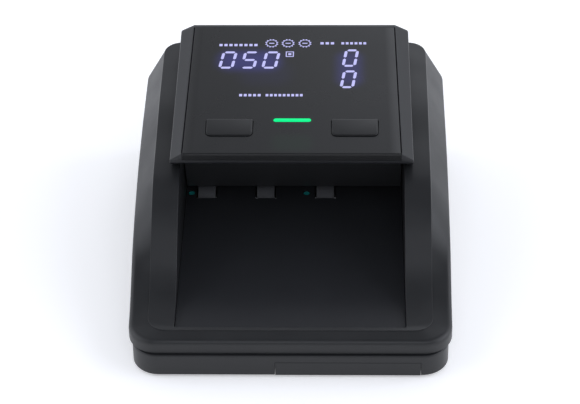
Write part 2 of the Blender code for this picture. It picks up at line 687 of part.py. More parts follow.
def make_drive():
    reach = TRAY_HALF - GAP
    for i, (x, y) in enumerate(bush_spots()):
        low, high = x - BUSH_WIDTH / 2, x + BUSH_WIDTH / 2
        bush = tube(f"bush_{i + 1}", (y, SHAFT_Z), SHAFT_RADIUS + RUNNING, BUSH_RADIUS, low, high)
        finish(bush, (0.6, 0.42, 0.2), 0.3, 1)
    for lane, (label, shaft_y) in enumerate((("front", FRONT_SHAFT_Y), ("rear", REAR_SHAFT_Y))):
        centre = (back(shaft_y), SHAFT_Z)
        left = belt_track(lane) - BELT_TRACK / 2 - GAP
        shaft = rod(f"{label}_drive_shaft", 0, centre, SHAFT_RADIUS, left, reach, SEGMENTS, (0, *centre))
        finish(shaft, STEEL, 0.25, 1)
        for i, x in enumerate(ROLLER_MIDDLES):
            low, high = x - ROLLER_WIDTH / 2, x + ROLLER_WIDTH / 2
            roller = tube(f"{label}_roller_{i + 1}", centre, SHAFT_RADIUS + GAP, ROLLER_RADIUS, low, high)
            finish(roller, RUBBER, 0.85)
        profile = pulley_profile([lane], SHAFT_RADIUS + GAP)
        finish(lathe(f"{label}_pulley", profile, centre), DARK)
        make_belt(f"{label}_belt", belt_track(lane), centre)
    centre = (back(MOTOR_Y), MOTOR_Z)
    pulley = lathe("motor_pulley", pulley_profile([0, 1], MOTOR_SHAFT + GAP), centre)
    finish(pulley, DARK)
    inner = -TRAY_HALF + 2 * BUSH_INSET - GAP
    outer = belt_track(1) - BELT_TRACK / 2 - GAP
    shaft = rod("motor_shaft", 0, centre, MOTOR_SHAFT, outer, inner, SMALL_SEGMENTS, (0, *centre))
    finish(shaft, STEEL, 0.25, 1)


def make_belt(name, x, driven):
    """Flat loop round the motor pulley and a driven pulley."""
    first = np.array((back(MOTOR_Y), MOTOR_Z))
    second = np.array(driven)
    heading = math.atan2(*(second - first)[::-1])
    loops = []
    for radius in (PULLEY_RADIUS + GAP, PULLEY_RADIUS + GAP + BELT_THICK):
        loop = []
        for middle, turn in ((second, heading - math.pi / 2), (first, heading + math.pi / 2)):
            for i in range(SEGMENTS // 2 + 1):
                t = turn + math.pi * i / (SEGMENTS // 2)
                loop.append((middle[0] + radius * math.cos(t), middle[1] + radius * math.sin(t)))
        loops.append(loop)
    count = len(loops[0])
    rims = ((0, -1), (1, -1), (1, 1), (0, 1))
    points = [(x + side * BELT_WIDTH / 2, *loops[k][i]) for i in range(count) for k, side in rims]
    faces = []
    for i in range(count):
        j = (i + 1) % count
        for a in range(4):
            b = (a + 1) % 4
            faces.append((i * 4 + a, i * 4 + b, j * 4 + b, j * 4 + a))
    finish(add(name, points, faces), DARK, 0.8)


def head_ring(y, panel_half, outer_half, bottom):
    """Section of the head at one y: flat top, sloping flanks, straight sides."""
    along = (y - back(HEAD_LIP_Y)) / math.cos(SLOPE)
    top = on_panel(0, along, 0)[2]
    return [
        (-outer_half, y, bottom), (-outer_half, y, top - FLANK_DROP), (-panel_half, y, top),
        (panel_half, y, top), (outer_half, y, top - FLANK_DROP), (outer_half, y, bottom),
    ]


def head_halves(share):
    """Half widths of the panel and of the head, at a share of the head's length."""
    panel = TRAY_HALF - PANEL_INSET_FRONT + share * (PANEL_INSET_FRONT - PANEL_INSET_REAR)
    outer = TRAY_HALF + FLANK_OUT_FRONT + share * (FLANK_OUT_REAR - FLANK_OUT_FRONT)
    return panel, outer


def panel_block(name, low, high, tops, origin=(0, 0, 0)):
    """Box in panel coordinates: low and high are (x, along), tops the two heights above the panel."""
    outline = ((low[0], low[1]), (high[0], low[1]), (high[0], high[1]), (low[0], high[1]))
    return loft(name, [[on_panel(x, a, h) for x, a in outline] for h in tops], origin)


def make_head():
    start, end = back(HEAD_LIP_Y), back(HEAD_REAR_Y)
    rings, hollow = [], []
    for i in range(HEAD_STEPS + 1):
        share = i / HEAD_STEPS
        y = start + (end - start) * share
        panel, outer = head_halves(share)
        bottom = LIP_BOTTOM if i == 0 else ledge_height(y) + SKIRT_GAP
        rings.append(head_ring(y, panel, outer, bottom))
        inner_y = min(max(y, start + WALL), end - WALL)
        along = (inner_y - start) / math.cos(SLOPE)
        roof = on_panel(0, along, -POCKET - POCKET_FLOOR)[2]
        half = outer - WALL
        hollow.append([(-half, inner_y, 0), (-half, inner_y, roof), (half, inner_y, roof), (half, inner_y, 0)])
    hollow = [ring for i, ring in enumerate(hollow) if i == 0 or ring[0][1] > hollow[i - 1][0][1]]
    head = loft("head_shell", rings)
    cut(head, loft("head_hollow", hollow))
    front, rear = head_halves(0)[0], head_halves(1)[0]
    deck = ((-front, -WALL), (front, -WALL), (rear, PANEL_LENGTH - POCKET_END), (-rear, PANEL_LENGTH - POCKET_END))
    cut(head, loft("panel_pocket", [[on_panel(x, a, h) for x, a in deck] for h in (-POCKET, FAR)]))
    window = rear - WINDOW_EDGE
    window_low, window_high = (-window, BOARD_START), (window, PANEL_LENGTH - WINDOW_EDGE)
    cut(head, panel_block("panel_window", window_low, window_high, (-POCKET - 2 * POCKET_FLOOR, 0)))
    hinge = (back(HINGE_Y), HINGE_Z)
    for side, label in ((-1, "left"), (1, "right")):
        reach = TRAY_HALF - HINGE_FROM_SIDE
        ends = sorted((side * (reach - LUG_WIDTH - GAP), side * (reach + GAP)))
        notch_low = (ends[0], hinge[0] - HINGE_RADIUS - GAP, 0)
        cut(head, box(f"lug_notch_{label}", notch_low, (ends[1], back(DEPTH + WALL), HINGE_Z + HINGE_RADIUS + GAP)))
        ends = sorted((side * (reach + GAP), side * (reach + GAP + KNUCKLE_WIDTH)))
        join(head, rod(f"knuckle_{label}", 0, hinge, HINGE_RADIUS, *ends))
        ends = sorted((side * reach, side * (reach + KNUCKLE_WIDTH)))
        cut(head, rod(f"knuckle_hole_{label}", 0, hinge, HINGE_PIN + RUNNING, *ends, SMALL_SEGMENTS))
        pin_ends = sorted((side * (reach - LUG_WIDTH), side * (reach + KNUCKLE_WIDTH - GAP)))
        pin = rod(f"hinge_pin_{label}", 0, hinge, HINGE_PIN, *pin_ends, SMALL_SEGMENTS, (0, *hinge))
        finish(pin, STEEL, 0.25, 1)
    finish(head, BLACK, 0.4)


def key_outline():
    """Outline of a key: square at the top, rounded at the lower corners."""
    half_x, half_a = KEY_SIZE[0] / 2, KEY_SIZE[1] / 2
    points = [(half_x, half_a), (-half_x, half_a)]
    for cx, turn in ((-1, math.pi), (1, 1.5 * math.pi)):
        for i in range(6):
            t = turn + math.pi / 2 * i / 5
            middle = (cx * (half_x - KEY_CORNER), KEY_CORNER - half_a)
            points.append((middle[0] + KEY_CORNER * math.cos(t), middle[1] + KEY_CORNER * math.sin(t)))
    return points


def make_panel():
    front, rear = head_halves(0)[0] - GAP, head_halves(1)[0] - GAP
    last = PANEL_LENGTH - POCKET_END - GAP
    deck = ((-front, GAP), (front, GAP), (rear, last), (-rear, last))
    fascia = loft("display_fascia", [[on_panel(x, a, h) for x, a in deck] for h in (-FASCIA_THICK, 0)])
    for side, label in ((-1, "left"), (1, "right")):
        x = side * KEY_X
        spread = 1 + 2 * GAP / KEY_SIZE[1]
        hole = [[on_panel(x + a * spread, KEY_ALONG + b * spread, h) for a, b in key_outline()]
                for h in (-WALL, WALL)]
        cut(fascia, loft(f"key_hole_{label}", hole))
        rings = [[on_panel(x + a, KEY_ALONG + b, h) for a, b in key_outline()]
                 for h in (-POCKET - GAP / 3, KEY_ABOVE)]
        finish(loft(f"key_{label}", rings, on_panel(x, KEY_ALONG, KEY_ABOVE)), BLACK, 0.35)
        half = TACT_SIZE / 2
        heights = (GAP - BOARD_DROP, GAP - BOARD_DROP + TACT_HEIGHT)
        tact = panel_block(
            f"key_switch_{label}", (x - half, KEY_ALONG - half), (x + half, KEY_ALONG + half), heights
        )
        finish(tact, DARK)
    half_x, half_a = BAR_SIZE[0] / 2, BAR_SIZE[1] / 2
    hole_low, hole_high = (-half_x - GAP, BAR_ALONG - half_a - GAP), (half_x + GAP, BAR_ALONG + half_a + GAP)
    cut(fascia, panel_block("bar_hole", hole_low, hole_high, (-WALL, WALL)))
    bar_low, bar_high = (-half_x, BAR_ALONG - half_a), (half_x, BAR_ALONG + half_a)
    finish(panel_block("light_bar", bar_low, bar_high, (GAP - BOARD_DROP, 0)), GLOW_GREEN, 0.3)
    finish(fascia, DARK, 0.15)
    edge = rear - WINDOW_EDGE - 2 * GAP
    board_low = (-edge, BOARD_START + 2 * GAP)
    board_high = (edge, PANEL_LENGTH - WINDOW_EDGE - 2 * GAP)
    heights = (-BOARD_DROP - BOARD_THICK, -BOARD_DROP)
    finish(panel_block("display_board", board_low, board_high, heights), BOARD_GREEN, 0.4)
    heights = (GAP - BOARD_DROP, -MODULE_TOP)
    for name, corners in MODULES.items():
        finish(panel_block(name, *corners, heights), DARK)


def make_guide():
    half = TRAY_HALF - GUIDE_SIDE_GAP
    mouth = back(FRONT_SHAFT_Y - GUIDE_MOUTH)
    brow = mouth - GUIDE_BROW
    rear = back(HINGE_Y) - GUIDE_REAR + HINGE_PIN
    front = back(HEAD_LIP_Y) + WALL + GAP
    outline = [
        (front, GUIDE_HIGH - SOFFIT), (brow, GUIDE_HIGH - SOFFIT), (mouth, GUIDE_LOW), (rear, GUIDE_LOW),
        (rear, GUIDE_HIGH), (front, GUIDE_HIGH),
    ]
    guide = slab("upper_guide", outline, -half, half)
    t = GUIDE_PLATE
    inner = [
        (brow + 2 * t, FAR), (brow + 2 * t, GUIDE_HIGH - SOFFIT), (mouth + 1.5 * t, GUIDE_LOW + t),
        (rear - t, GUIDE_LOW + t), (rear - t, FAR),
    ]
    cut(guide, slab("guide_hollow", inner, -half + t, half - t))
    y, z = back(REAR_SHAFT_Y), SHAFT_Z + ROLLER_RADIUS + GAP + IDLER_RADIUS
    for i, x in enumerate(ROLLER_MIDDLES):
        reach = ROLLER_WIDTH / 2 + WINDOW_GAP
        along = IDLER_RADIUS + 0.6 * MM
        cut(guide, box(f"idler_window_{i}", (x - reach, y - along, 0), (x + reach, y + along, z)))
        low, high = x - ROLLER_WIDTH / 2, x + ROLLER_WIDTH / 2
        finish(tube(f"idler_{i + 1}", (y, z), IDLER_SHAFT + GAP, IDLER_RADIUS, low, high), RUBBER, 0.85)
    ways = rod("idler_way", 0, (y, z), IDLER_SHAFT + RUNNING, -half - GAP, half + GAP, SMALL_SEGMENTS)
    cut(guide, ways)
    shaft = rod("idler_shaft", 0, (y, z), IDLER_SHAFT, -half + GAP, half - GAP, SMALL_SEGMENTS, (0, y, z))
    finish(shaft, STEEL, 0.25, 1)
    low_z = GUIDE_LOW + GAP
    for name, behind, size in (
        ("magnetic_head", MAGNET_BAR_BEHIND, MAGNET_BAR), ("image_sensor", SENSOR_BAR_BEHIND, SENSOR_BAR),
    ):
        y = back(FRONT_SHAFT_Y + behind)
        low = (-size[0] / 2, y - size[1] / 2, low_z)
        high = (size[0] / 2, y + size[1] / 2, low_z + size[2])
        window_low = (low[0] - GAP, low[1] - GAP, 0)
        cut(guide, box(f"{name}_window", window_low, (high[0] + GAP, high[1] + GAP, low_z + t)))
        finish(box(name, low, high), DARK, 0.3)
    finish(guide, BLACK, 0.6)


def main():
    for thing in list(bpy.data.objects):
        bpy.data.objects.remove(thing)
    make_base()
    make_body()
    make_bed()
    make_feet_and_screws()
    make_battery()
    make_electronics()
    make_inlet_and_switch()
    make_drive()
    make_head()
    make_panel()
    make_guide()


main()
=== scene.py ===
import json
import math

import bpy
import numpy as np
from mathutils import Matrix, Vector


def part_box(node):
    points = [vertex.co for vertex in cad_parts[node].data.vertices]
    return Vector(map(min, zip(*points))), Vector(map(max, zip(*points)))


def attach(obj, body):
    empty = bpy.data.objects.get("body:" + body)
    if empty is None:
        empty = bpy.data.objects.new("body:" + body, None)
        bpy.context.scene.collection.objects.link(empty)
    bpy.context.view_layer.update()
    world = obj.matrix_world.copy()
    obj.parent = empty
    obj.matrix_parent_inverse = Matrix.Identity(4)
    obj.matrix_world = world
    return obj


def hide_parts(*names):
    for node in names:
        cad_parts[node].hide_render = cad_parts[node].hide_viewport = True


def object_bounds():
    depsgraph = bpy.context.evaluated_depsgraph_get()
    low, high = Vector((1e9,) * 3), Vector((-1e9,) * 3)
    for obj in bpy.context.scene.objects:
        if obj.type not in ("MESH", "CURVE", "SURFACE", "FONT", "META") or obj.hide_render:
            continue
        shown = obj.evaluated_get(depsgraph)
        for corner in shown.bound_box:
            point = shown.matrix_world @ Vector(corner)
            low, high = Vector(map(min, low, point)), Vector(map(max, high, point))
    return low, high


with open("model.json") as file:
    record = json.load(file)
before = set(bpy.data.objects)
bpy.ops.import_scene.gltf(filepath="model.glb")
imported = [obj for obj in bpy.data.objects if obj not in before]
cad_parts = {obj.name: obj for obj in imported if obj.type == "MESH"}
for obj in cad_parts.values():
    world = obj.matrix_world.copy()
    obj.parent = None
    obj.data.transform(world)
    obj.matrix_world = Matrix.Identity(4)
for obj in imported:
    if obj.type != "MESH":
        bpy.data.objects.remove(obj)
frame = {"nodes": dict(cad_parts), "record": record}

bl_info = {
    "name": "Banknote Tester Builder",
    "version": (1, 0, 0),
    "blender": (4, 5, 0),
    "location": "View3D > Sidebar > Banknote Tester",
    "description": "Builds the finished surfaces of a desk banknote tester on its CAD frame",
    "category": "Object",
}

MM = 0.001
CAD_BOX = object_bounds()
LOW, HIGH = CAD_BOX
WIDTH = HIGH.x - LOW.x
DEPTH = HIGH.y - LOW.y
FRONT = LOW.y
BODY_LOW_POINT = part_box("upper_shell")[0]
BASE_LOW_POINT, BASE_HIGH_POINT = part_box("base_shell")
HEAD_LOW_POINT, HEAD_HIGH_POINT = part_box("head_shell")
FASCIA_HIGH_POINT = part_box("display_fascia")[1]
BED_HIGH_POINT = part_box("bill_bed")[1]
GAP = 0.3 * MM
WALL = 2.2 * MM
TRAY_HALF = BED_HIGH_POINT.x + 0.15 * MM
TRAY_FRONT = 8.2 * MM
HEAD_FRONT = HEAD_LOW_POINT.y - FRONT
HEAD_REAR = FASCIA_HIGH_POINT.y - FRONT + 2.3 * MM
LIP_TOP, LIP_BOTTOM = 55.8 * MM, 51.3 * MM
HEAD_REAR_TOP = HEAD_HIGH_POINT.z
SLOPE = math.atan((HEAD_REAR_TOP - LIP_TOP) / (HEAD_REAR - HEAD_FRONT))
PANEL_LENGTH = (HEAD_REAR - HEAD_FRONT) / math.cos(SLOPE)
PANEL_END = PANEL_LENGTH - 2.2 * MM
APRON = 0.75 * MM
SEAM_Z = 53.0 * MM
SEAM_GAP = 0.06 * MM
SIDES = ((-1, "left"), (1, "right"))
BODY_FRONT, BODY_CORNERS = 1.2 * MM, (11 * MM, 8 * MM)
LEDGE_INSET, LEDGE_FRONT, LEDGE_CORNER = 7.2 * MM, 6.5 * MM, 7 * MM
HINGE_RADIUS, PIN_BORE = 2.4 * MM, 1.3 * MM
LUG_WIDTH = 6 * MM
LUG_END = TRAY_HALF - 12.8 * MM
SHELL_FLOOR = 13.4 * MM
EXIT_LOW, EXIT_HIGH = 15.4 * MM, 22 * MM
REAR_NOTCH = 51.5 * MM
BASE_FLOOR, BASE_WALL, BASE_CORNER = 4.2 * MM, 3.1 * MM, 10.1 * MM
SCREW_HOLE = 2.7 * MM
KEY_X, KEY_ALONG = 24 * MM, 15 * MM
BAR_AT = (0, 19.6 * MM)
FLOOR_DROP = 0.02 * MM  # the floor lies a hair under the feet
COOL_WHITE = (0.95, 0.98, 1.06)

# Heights of the body's outer edge and of its ledge, as (distance from the front, height) in millimetres
EDGE_CURVE = ((0, 16.0), (8, 16.0), (13, 16.8), (41, 29.0), (63, 34.6), (88, 38.6), (111, 39.6), (145, 39.6))
LEDGE_CURVE = (
    (0, 17.5), (8, 17.5), (14, 18.3), (22, 20.2), (30, 24.4), (38, 30.6), (46, 36.8), (54, 41.6),
    (64, 45.5), (86, 48.4), (106, 50.9), (119, 51.5), (145, 52.5),
)

# Bars lit for each numeral, in the order top, upper right, lower right, bottom, lower left, upper left, middle
NUMERALS = (
    "1111110", "0110000", "1101101", "1111001", "0110011", "1011011", "1011111", "1110000",
    "1111111", "1111011",
)


def linear(colour):
    """Linear red, green and blue of an sRGB hex colour such as "1E2022"."""
    channels = np.array([int(colour[i:i + 2], 16) for i in (0, 2, 4)]) / 255
    low = channels / 12.92
    high = ((channels + 0.055) / 1.055) ** 2.4
    return tuple(float(c) for c in np.where(channels <= 0.04045, low, high))


# ---------------- settings


def length(name, description, default):
    """Setting that is a length in metres."""
    return bpy.props.FloatProperty(name=name, description=description, default=default, min=0, unit="LENGTH")


def colour(name, description, default):
    """Setting that is a colour, given as an sRGB hex value."""
    return bpy.props.FloatVectorProperty(
        name=name, description=description, default=linear(default), size=3, min=0, max=1, subtype="COLOR"
    )


def amount(name, description, default):
    """Setting that is a plain number."""
    return bpy.props.FloatProperty(name=name, description=description, default=default, min=0)


def angle(name, description, degrees):
    """Setting that is an angle, given in degrees."""
    return bpy.props.FloatProperty(name=name, description=description, default=math.radians(degrees), subtype="ANGLE")


class CaseSettings(bpy.types.PropertyGroup):
    """Sizes and colours of the mouldings."""

    edge_round: length("Outer edge radius", "Rounding where the wall meets the sloping band", 2.4 * MM)
    ledge_round: length("Ledge edge radius", "Rounding along the outer edge of the raised ledge", 0.25 * MM)
    ledge_step: length("Ledge step", "Height of the ledge above the sloping band", 0.3 * MM)
    tray_round: length("Tray edge radius", "Rounding along the top of the tray wall", 0.3 * MM)
    base_round: length("Base edge radius", "Rounding along the top of the base", 0.7 * MM)
    case_colour: colour("Case", "Colour of the textured mouldings", "1F2022")
    # The bed's colour is lighter than the case's as painted fill light for the shaded tray.
    tray_colour_with_painted_fill: colour("Tray", "Colour of the bill bed", "26272A")
    # The guide's colour is lighter than the case's as painted fill light for the shaded throat.
    guide_colour_with_painted_fill: colour("Guide", "Colour of the guide that hangs under the head", "363739")
    head_colour: colour("Head", "Colour of the satin head", "1E1F22")
    # Grey rubber drawn lighter than the rubber elsewhere, as painted fill light for the shaded throat.
    rubber_colour_with_painted_fill: colour("Rubber", "Colour of the feed rollers", "505154")


class DisplaySettings(bpy.types.PropertyGroup):
    """What the display shows, and its light."""

    value: bpy.props.IntProperty(name="Value", description="Number shown on the left", default=50, min=0, max=999)
    count: bpy.props.IntProperty(name="Count", description="Number shown on the right", default=0, min=0, max=99)
    lit_colour: colour("Lit colour", "Colour of the lit marks", "C9C8FF")
    bar_colour: colour("Bar colour", "Colour of the light bar", "00F08C")
    panel_colour: colour("Panel", "Colour of the smoked panel", "101113")
    glow_colour: colour("Glow", "Colour of the light spread in the panel round the numerals", "6A66FF")
    glow_power: amount("Glow power", "Brightness of the light spread in the panel", 0.12)
    lit_power: amount("Lit power", "Brightness of the lit marks", 0.85)
    bar_power: amount("Bar power", "Brightness of the light bar", 1.0)


class StageSettings(bpy.types.PropertyGroup):
    """Floor, lights and camera."""

    floor_colour: colour("Floor", "Colour of the floor", "F6F6F7")
    floor_glow: amount("Floor glow", "Light given off by the lit table, as a share of white", 0.36)
    sky_low: amount("Low light", "Light from round the horizon", 1.0)
    sky_high: amount("High light", "Light from high in front", 0.22)
    pole_lean: angle("Lean", "Lean of the surround's dark pole to the front", 25)
    back_power: amount("Back light", "Power of the soft light behind, in watts", 2.2)
    front_power: amount("Front light", "Power of the soft light over the camera, in watts", 6.5)
    side_power: amount("Side lights", "Power of each soft light at the sides, in watts", 13.0)
    lens: amount("Lens", "Focal length in millimetres", 142.6)
    distance: length("Distance", "From the camera to the middle of the part", 0.892)
    azimuth: angle("Azimuth", "Camera angle round the part", 1.56)
    elevation: angle("Elevation", "Camera angle above the floor", 37.56)
    roll: angle("Roll", "Turn of the camera about its own axis", 0.87)


# ---------------- meshes


def curve(points, distance):
    """Smooth curve through the points that never overshoots: cubic pieces whose slope at a point is
    the harmonic mean of the straight slopes on its two sides."""
    xs, ys = np.array(points, float).T * MM
    step = np.diff(xs)
    slope = np.diff(ys) / step
    bend = slope[1:] * slope[:-1]
    total = np.where(bend > 0, slope[1:] + slope[:-1], 1)
    tangent = np.concatenate([[slope[0]], np.where(bend > 0, 2 * bend / total, 0), [slope[-1]]])
    d = np.clip(distance, xs[0], xs[-1])
    i = np.clip(np.searchsorted(xs, d, side="right") - 1, 0, len(step) - 1)
    t = (d - xs[i]) / step[i]
    height = (1 + 2 * t) * (1 - t) ** 2 * ys[i] + t * t * (3 - 2 * t) * ys[i + 1]
    return height + step[i] * (t * (1 - t) ** 2 * tangent[i] - t * t * (1 - t) * tangent[i + 1])


def outline(half, front, rear, corner_front, corner_rear, corner_steps=14, side_steps=90, end_steps=10):
    """Rounded rectangle as (x, distance) points, from the middle of the front round by +X and back:
    straight runs joined by quarter circles, the left half mirrored from the right."""
    quarter = np.linspace(0, math.pi / 2, corner_steps + 1)
    run = np.linspace(0, 1, end_steps + 1)[:-1]
    side = np.linspace(0, 1, side_steps + 1)[1:-1]
    x = np.concatenate([
        run * (half - corner_front),
        half - corner_front + corner_front * np.sin(quarter),
        np.full(len(side), half),
        half - corner_rear + corner_rear * np.cos(quarter),
        (1 - run[1:]) * (half - corner_rear), [0],
    ])
    start, end = front + corner_front, rear - corner_rear
    d = np.concatenate([
        np.full(len(run), front),
        start - corner_front * np.cos(quarter),
        start + (end - start) * side,
        end + corner_rear * np.sin(quarter),
        np.full(len(run), rear),
    ])
    return np.column_stack([np.concatenate([x, -x[-2:0:-1]]), np.concatenate([d, d[-2:0:-1]])])


def at_height(points, height):
    """Points in space from (x, distance from the front) and a height, which may be one per point."""
    return np.column_stack([points[:, 0], points[:, 1] + FRONT, np.broadcast_to(height, len(points))])


def rounded(corners, radii, closed, steps=6, extra=(0.06, 0.5, 0.94)):
    """Rows of points along the polyline of corners, each corner replaced by a parabola that is
    tangent to both its sides: its reach is radius times the tangent of half the turn, at most 45% of a side.
    The extra rows lie at those shares of each straight run. Each corner is a whole row of points."""
    count = len(corners)
    rows = []
    ends = []
    for k in range(count):
        here = corners[k]
        before, after = corners[k - 1], corners[(k + 1) % count]
        if radii[k] <= 0 or (not closed and k in (0, count - 1)):
            ends.append((here, here, here))
            continue
        back, ahead = before - here, after - here
        back_length = np.linalg.norm(back, axis=1, keepdims=True)
        ahead_length = np.linalg.norm(ahead, axis=1, keepdims=True)
        back, ahead = back / np.maximum(back_length, 1e-9), ahead / np.maximum(ahead_length, 1e-9)
        turn = math.pi - np.arccos(np.clip((back * ahead).sum(1, keepdims=True), -1, 1))
        reach = np.minimum(radii[k] * np.tan(turn / 2), 0.45 * np.minimum(back_length, ahead_length))
        ends.append((here + back * reach, here, here + ahead * reach))
    for k in range(count):
        start, middle, end = ends[k]
        if start is end:
            rows.append(start)
        else:
            for t in np.linspace(0, 1, steps + 1):
                rows.append((1 - t) ** 2 * start + 2 * t * (1 - t) * middle + t * t * end)
        if k == count - 1 and not closed:
            break
        following = ends[(k + 1) % count][0]
        rows += [end + (following - end) * t for t in extra]
    return np.array(rows)


def link(name, data):
    """Object in the scene for a mesh, lamp or camera."""
    made = bpy.data.objects.new(name, data)
    bpy.context.scene.collection.objects.link(made)
    return made


def discard(made):
    """Removes an object and its mesh."""
    mesh = made.data
    bpy.data.objects.remove(made)
    bpy.data.meshes.remove(mesh)


def dress(mesh, material):
    """Gives a mesh one material."""
    mesh.materials.clear()
    mesh.materials.append(material)


def surface(name, grid, wrap_rows=False, wrap_columns=True, caps=False):
    """Mesh of a grid of points (rows, columns, 3), with a quad between neighbours. Wrapping joins the
    last row or column to the first, and caps closes the first and last rows with one face each."""
    rows, columns = grid.shape[:2]
    index = np.arange(rows * columns).reshape(rows, columns)
    if wrap_rows:
        index = np.vstack([index, index[:1]])
    if wrap_columns:
        index = np.hstack([index, index[:, :1]])
    quads = np.stack([index[:-1, :-1], index[:-1, 1:], index[1:, 1:], index[1:, :-1]], -1).reshape(-1, 4)
    faces = quads.tolist()
    if caps:
        faces += [index[0, :columns][::-1].tolist(), index[-1, :columns].tolist()]
    mesh = bpy.data.meshes.new(name)
    mesh.from_pydata(grid.reshape(-1, 3).tolist(), [], faces)
    return link(name, outward(mesh))


def outward(mesh):
    """Turns a closed mesh right side out: its signed volume, summed over its triangles, has to be positive."""
    mesh.calc_loop_triangles()
    corners = np.empty(len(mesh.loop_triangles) * 3, np.int32)
    mesh.loop_triangles.foreach_get("vertices", corners)
    points = np.empty(len(mesh.vertices) * 3)
    mesh.vertices.foreach_get("co", points)
    triangles = points.reshape(-1, 3)[corners.reshape(-1, 3)]
    if np.linalg.det(triangles).sum() < 0:
        mesh.flip_normals()
    mesh.update()
    return mesh


def join_meshes(name, made):
    """One object from several, with their meshes put together."""
    points, faces, start = [], [], 0
    for item in made:
        co = np.empty(len(item.data.vertices) * 3)
        item.data.vertices.foreach_get("co", co)
        points.append(co.reshape(-1, 3))
        faces += [[v + start for v in face.vertices] for face in item.data.polygons]
        start += len(item.data.vertices)
        discard(item)
    mesh = bpy.data.meshes.new(name)
    mesh.from_pydata(np.concatenate(points).tolist(), [], faces)
    mesh.update()
    return link(name, mesh)


def prism(name, shape, low, high, place):
    """Closed prism: place(a, b, h) puts each point (a, b) of the shape at the two heights in space."""
    a, b = np.array(shape, float).T
    grid = np.array([place(a, b, np.full(len(a), h)) for h in (low, high)])
    return surface(name, grid, caps=True)


def upright(a, b, h):
    """Points of a prism whose shape lies in plan."""
    return np.column_stack([a, b, h])


def sideways(a, b, h):
    """Points of a prism whose shape is (y, z), carried along X."""
    return np.column_stack([h, a, b])


def block(name, low, high):
    """Box between two corners."""
    shape = ((low[0], low[1]), (high[0], low[1]), (high[0], high[1]), (low[0], high[1]))
    return prism(name, shape, low[2], high[2], upright)


def lathe(name, profile, centre, segments=64):
    """Ring about an X axis: the closed profile of (x, radius) is turned about centre = (y, z)."""
    x, radius = np.array(profile, float).T
    turn = np.linspace(0, 2 * math.pi, segments, endpoint=False)[:, None]
    wide = np.broadcast_to(x, (segments, len(x)))
    grid = np.stack([wide, centre[0] + radius * np.cos(turn), centre[1] + radius * np.sin(turn)], -1)
    return surface(name, grid, wrap_rows=True)


def cut_out(made, cutters):
    """Takes the cutters out of a piece with exact Booleans, and removes the cutters."""
    for cutter in cutters:
        modifier = made.modifiers.new(cutter.name, "BOOLEAN")
        modifier.operation = "DIFFERENCE"
        modifier.solver = "EXACT"
        modifier.object = cutter
    graph = bpy.context.evaluated_depsgraph_get()
    old = made.data
    made.data = bpy.data.meshes.new_from_object(made.evaluated_get(graph))
    made.data.name = made.name
    made.modifiers.clear()
    bpy.data.meshes.remove(old)
    for cutter in cutters:
        discard(cutter)


def settle(made, body, material, nodes=(), sharp=35):
    """Gives a piece its material and smooth shading, ties it to its body, and hides the CAD nodes it replaces."""
    dress(made.data, material)
    made.data.shade_smooth()
    made.data.set_sharp_from_angle(angle=math.radians(sharp))
    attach(made, body)
    if nodes:
        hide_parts(*nodes)
    return made


def on_panel(x, along, above):
    """Points on the head's sloping top: along it from the lip edge, and above it."""
    y = FRONT + HEAD_FRONT + along * math.cos(SLOPE) - above * math.sin(SLOPE)
    z = LIP_TOP + along * math.sin(SLOPE) + above * math.cos(SLOPE)
    return np.column_stack([x, y, z])


# ---------------- materials


def fill(made, values):
    """Sets a node's properties and inputs, by name or number. A socket among the values is linked in."""
    for key, value in values.items():
        if isinstance(key, str) and key not in made.inputs:
            setattr(made, key, value)
        elif isinstance(value, bpy.types.NodeSocket):
            made.id_data.links.new(value, made.inputs[key])
        else:
            made.inputs[key].default_value = value
    return made


def node(tree, kind, values=None, **links):
    """Adds a node with its settings and its links."""
    return fill(tree.nodes.new(kind), {**(values or {}), **links})


def new_material(name):
    """Material with a Principled shader, its tree, and a socket with Object coordinates."""
    made = bpy.data.materials.new(name)
    made.use_nodes = True
    tree = made.node_tree
    return made, tree, tree.nodes["Principled BSDF"], node(tree, "ShaderNodeTexCoord").outputs["Object"]


def spread(tree, source, low, high):
    """Number that runs from low to high as the source runs over the middle of a noise's range."""
    values = {"From Min": 0.3, "From Max": 0.7, "To Min": low, "To Max": high}
    return node(tree, "ShaderNodeMapRange", values, Value=source).outputs["Result"]


def tint(tree, source, base, change):
    """Colour that varies about the base by a share of itself, with the source."""
    low, high = ((*[c * (1 + side * change) for c in base], 1) for side in (-1, 1))
    return node(tree, "ShaderNodeMix", {"data_type": "RGBA", 0: source, 6: low, 7: high}).outputs[2]


def grained(name, base, grain, bump, roughness, patch=12 * MM, change=0.08, **settings):
    """Moulded surface: a fine noise for the grain's bump, and a broad one for colour and roughness."""
    made, tree, shader, place = new_material(name)
    fine = node(tree, "ShaderNodeTexNoise", {"Scale": 1 / grain, "Detail": 3.0}, Vector=place).outputs["Fac"]
    broad = node(tree, "ShaderNodeTexNoise", {"Scale": 1 / patch, "Detail": 4.0}, Vector=place).outputs["Fac"]
    lift = node(tree, "ShaderNodeBump", {"Strength": bump, "Distance": grain / 6}, Height=fine)
    fill(shader, {
        "Base Color": tint(tree, broad, base, change), "Roughness": spread(tree, broad, *roughness),
        "Normal": lift.outputs["Normal"], **settings,
    })
    return made


def textured_abs(base):
    """ABS moulded in a spark-eroded tool: an even fine grain that blurs reflections. The real grain is
    about 0.1 mm and is drawn at 0.45 mm so that it shows."""
    return grained("textured_abs", base, 0.45 * MM, 0.16, (0.36, 0.44), IOR=1.43)


def satin_abs(base):
    """ABS moulded in a smoother tool: soft gloss with long even highlights."""
    return grained("satin_abs", base, 0.6 * MM, 0.06, (0.3, 0.36), IOR=1.43)


